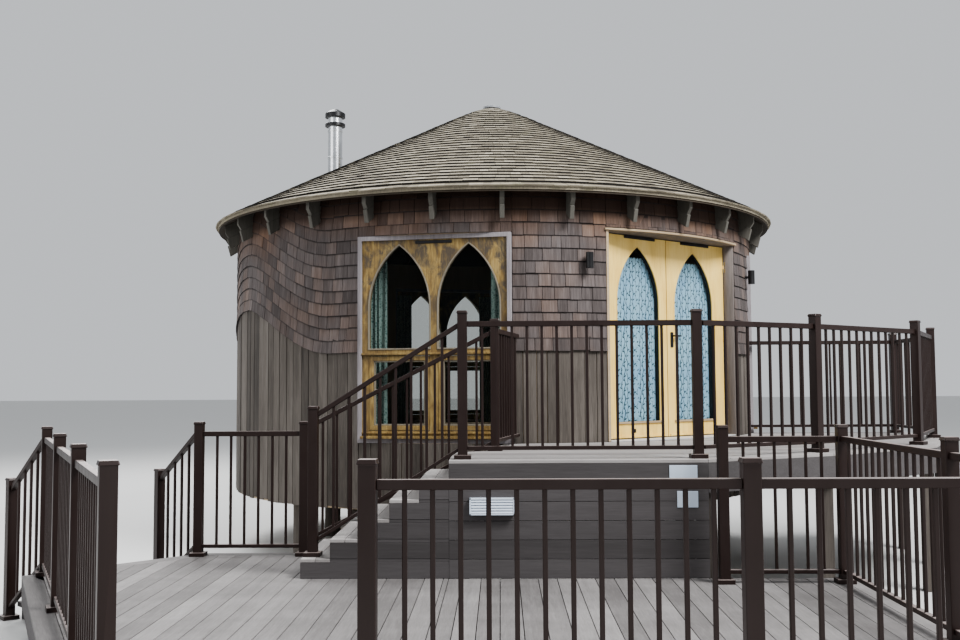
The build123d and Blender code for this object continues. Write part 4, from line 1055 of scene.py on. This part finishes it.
def upper_deck_boards():
    """Boards across the upper deck, cut round the cabin, inside a border at its edges."""
    heap = new_heap()
    edge = offset_line(RAILING_LINE, -0.16)
    edge = [(STAIR_TOP_X, FRONT_Y)] + edge[1:] + [(edge[-1][0], DECK_END_Y)]
    by_height = [(y, x) for x, y in offset_line(edge, BORDER_IN)[1:]]

    def shape(co):
        y = co.y
        left = STAIR_TOP_X
        if y > STAIR_BACK_Y:
            left = -0.04 + 0.171 * max(0, y - DECK_BACK_Y)
        if abs(y) < DECK_GAP_R:
            left = max(left, sqrt(DECK_GAP_R**2 - y * y))
        return (across(by_height, y) if co.x > 0 else left, y, co.z)

    y0 = FRONT_Y + BORDER + 0.004
    while y0 < -1.1:
        y1 = min(y0 + PITCH - JOINT, DECK_END_Y)
        slab(heap, (-1, y0, UPPER_Z - BOARD_T), (1, y1, UPPER_Z), shape=shape)
        y0 += PITCH
    edge_run(heap, edge, BORDER, UPPER_Z - BOARD_T, UPPER_Z)
    finish_boards(heap, "upper_deck_boards", deck_board, "upper_deck")
    front = new_heap()
    count = 6
    high = (UPPER_Z - BOARD_T - LOWER_Z) / count
    for k in range(count):
        low = LOWER_Z + k * high
        edge_run(front, [(STAIR_TOP_X, FRONT_Y), edge[1]], 0.02, low + HALF_JOINT, low + high - 0.0025)
    finish_boards(front, "front_boards", fascia_board, "front_cladding")


def stair_boards():
    """The stair's side boards, each with a set-back strip over it, and its treads of two boards."""
    sides = new_heap()
    foot_x = STAIR_TOP_X - TREADS * GOING
    for y in (FRONT_Y, STAIR_BACK_Y - 0.025):
        for k in range(TREADS):
            low = LOWER_Z + k * RISER
            x = foot_x + k * GOING
            high = low + RISER - BOARD_T
            slab(sides, (x, y, low + HALF_JOINT), (STAIR_TOP_X, y + 0.025, high - 0.001))
            if k < TREADS - 1:
                slab(sides, (x + GOING, y + 0.002, high), (STAIR_TOP_X, y + 0.023, low + RISER))
    finish_boards(sides, "stair_side_boards", fascia_board, "stair_sides")
    treads = new_heap()
    half = GOING / 2
    for k in range(TREADS):
        x = foot_x + k * GOING
        z = LOWER_Z + (k + 1) * RISER
        for x0, x1 in ((x + 0.0005, x + half - 0.002), (x + half + 0.002, x + GOING - 0.001)):
            slab(treads, (x0, FRONT_Y, z - BOARD_T), (x1, STAIR_BACK_Y, z))
    turn_grain(treads)
    finish_boards(treads, "stair_tread_boards", deck_board, "stair_treads")


def vent_cover():
    """The louvred box on the front boards."""
    heap = new_heap()
    low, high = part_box("vent_box")
    rim = 0.012
    count = 5
    front = low.y + 0.006
    slab(heap, (low.x, low.y + rim, low.z), high)
    pitch = (high.z - low.z - 2 * rim) / count
    for k in range(count):
        z = low.z + rim + k * pitch

        def shape(co):
            out = 0.006 if co.z < z + pitch / 2 and co.y < low.y + 0.008 else 0
            return (co.x, co.y - out, co.z)

        top = (high.x - rim, low.y + 0.014, z + pitch - 0.003)
        slab(heap, (low.x + rim, front, z + 0.003), top, shape=shape)
    for x0, x1 in ((low.x, low.x + rim), (high.x - rim, high.x)):
        slab(heap, (x0, low.y, low.z), (x1, low.y + 0.02, high.z))
    for z0, z1 in ((low.z, low.z + rim), (high.z - rim, high.z)):
        slab(heap, (low.x, low.y, z0), (high.x, low.y + 0.02, z1))
    settle(heap, "vent_cover", pale_plastic, "vent_white", bevel=0.0015, instead_of="vent_box")


def front_plates():
    """Two bare sign plates on the front boards."""
    heap = new_heap()
    for x0, x1, z0, z1 in ((1.383, 1.597, 1.150, 1.307), (1.440, 1.600, 0.985, 1.110)):
        slab(heap, (x0, FRONT_Y - 0.006, z0), (x1, FRONT_Y - 0.0005, z1))
    settle(heap, "bare_sign_plates", plate_finish, "vent_white", bevel=0.0015)


def deck_screws():
    """Screw heads along the upper deck's front board."""
    heap = new_heap()
    for k in range(8):
        x = STAIR_TOP_X + 0.16 + 0.29 * k
        for y in (FRONT_Y + 0.045, FRONT_Y + 0.115):
            at = Matrix.Translation((x, y, 0))
            rod(heap, 0.0045, UPPER_Z - 0.002, UPPER_Z + 0.0006, at, sides=8)
    settle(heap, "deck_screws", iron, "hinge_dark")


def cowl_bands():
    """The black brims of the flue's cowl, and the joint bands of its pipe."""
    dark, pale = new_heap(), new_heap()
    at = Matrix.Translation((*FLUE_AT, 0))
    for low, high, top in ((5.592, 5.650, None), (5.650, 5.704, 0.050), (5.468, 5.508, None)):
        rod(dark, 0.1370, low, high, at, top=top)
    for z in (5.392, 5.02):
        rod(pale, 0.1005, z, z + 0.03, at)
    settle(dark, "cowl_brims", lamp_black, "lamp_black", bevel=0.003)
    settle(pale, "flue_bands", steel, "flue_steel", bevel=0.003)


lower_deck_boards()
upper_deck_boards()
stair_boards()
vent_cover()
front_plates()
deck_screws()
cowl_bands()

# Studio: pale floor, soft light and the photograph's view
AIM = Vector((0, -2, 2))
LAMPS = (
    ("key_light", (9, -11, 14), 6, 4200),
    ("fill_light", (-12, -9, 7), 9, 500),
    ("back_light", (-8, 7, 14), 9, 2600),
)
EYE = (0.09, -13.75, 1.922)
YAW, TILT, ROLL = radians(-1.09), radians(3.60), radians(-0.31)


def studio():
    """The floor, the lights and the camera."""
    heap = bmesh.new()
    bmesh.ops.create_grid(heap, x_segments=1, y_segments=1, size=150)
    mesh = bpy.data.meshes.new("studio_floor")
    heap.to_mesh(mesh)
    heap.free()
    floor = bpy.data.objects.new("studio_floor", mesh)
    floor.location.z = -0.002
    mesh.materials.append(Recipe("pale_floor", 0.9).done((0.62, 0.62, 0.61)))
    floor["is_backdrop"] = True
    scene = bpy.context.scene
    scene.world = bpy.data.worlds.new("soft_sky")
    scene.world.use_nodes = True
    sky = scene.world.node_tree.nodes["Background"].inputs
    sky["Color"].default_value = (0.93, 0.96, 1.0, 1)
    sky["Strength"].default_value = 0.62
    scene.view_settings.look = "AgX - Medium High Contrast"
    holders = [floor]
    for name, spot, size, power in LAMPS:
        lamp = bpy.data.lights.new(name, "AREA")
        lamp.size = size
        lamp.energy = power
        holder = bpy.data.objects.new(name, lamp)
        holder.location = spot
        holder.rotation_euler = (AIM - Vector(spot)).to_track_quat("-Z", "Y").to_euler()
        holders.append(holder)
    forward = Vector((sin(YAW) * cos(TILT), cos(YAW) * cos(TILT), sin(TILT)))
    level = Vector((cos(YAW), -sin(YAW), 0))
    upward = level.cross(forward)
    right = level * cos(ROLL) + upward * sin(ROLL)
    up = upward * cos(ROLL) - level * sin(ROLL)
    view = bpy.data.cameras.new("view")
    view.lens = 39.375
    view.sensor_width = 36
    eye = bpy.data.objects.new("view", view)
    eye.matrix_world = Matrix((*zip(right, up, -forward, EYE), (0, 0, 0, 1)))
    for holder in [*holders, eye]:
        scene.collection.objects.link(holder)
    scene.camera = eye


studio()

visual_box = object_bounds()
str([[list(map(float, corner)) for corner in box] for box in (cad_box, visual_box)])
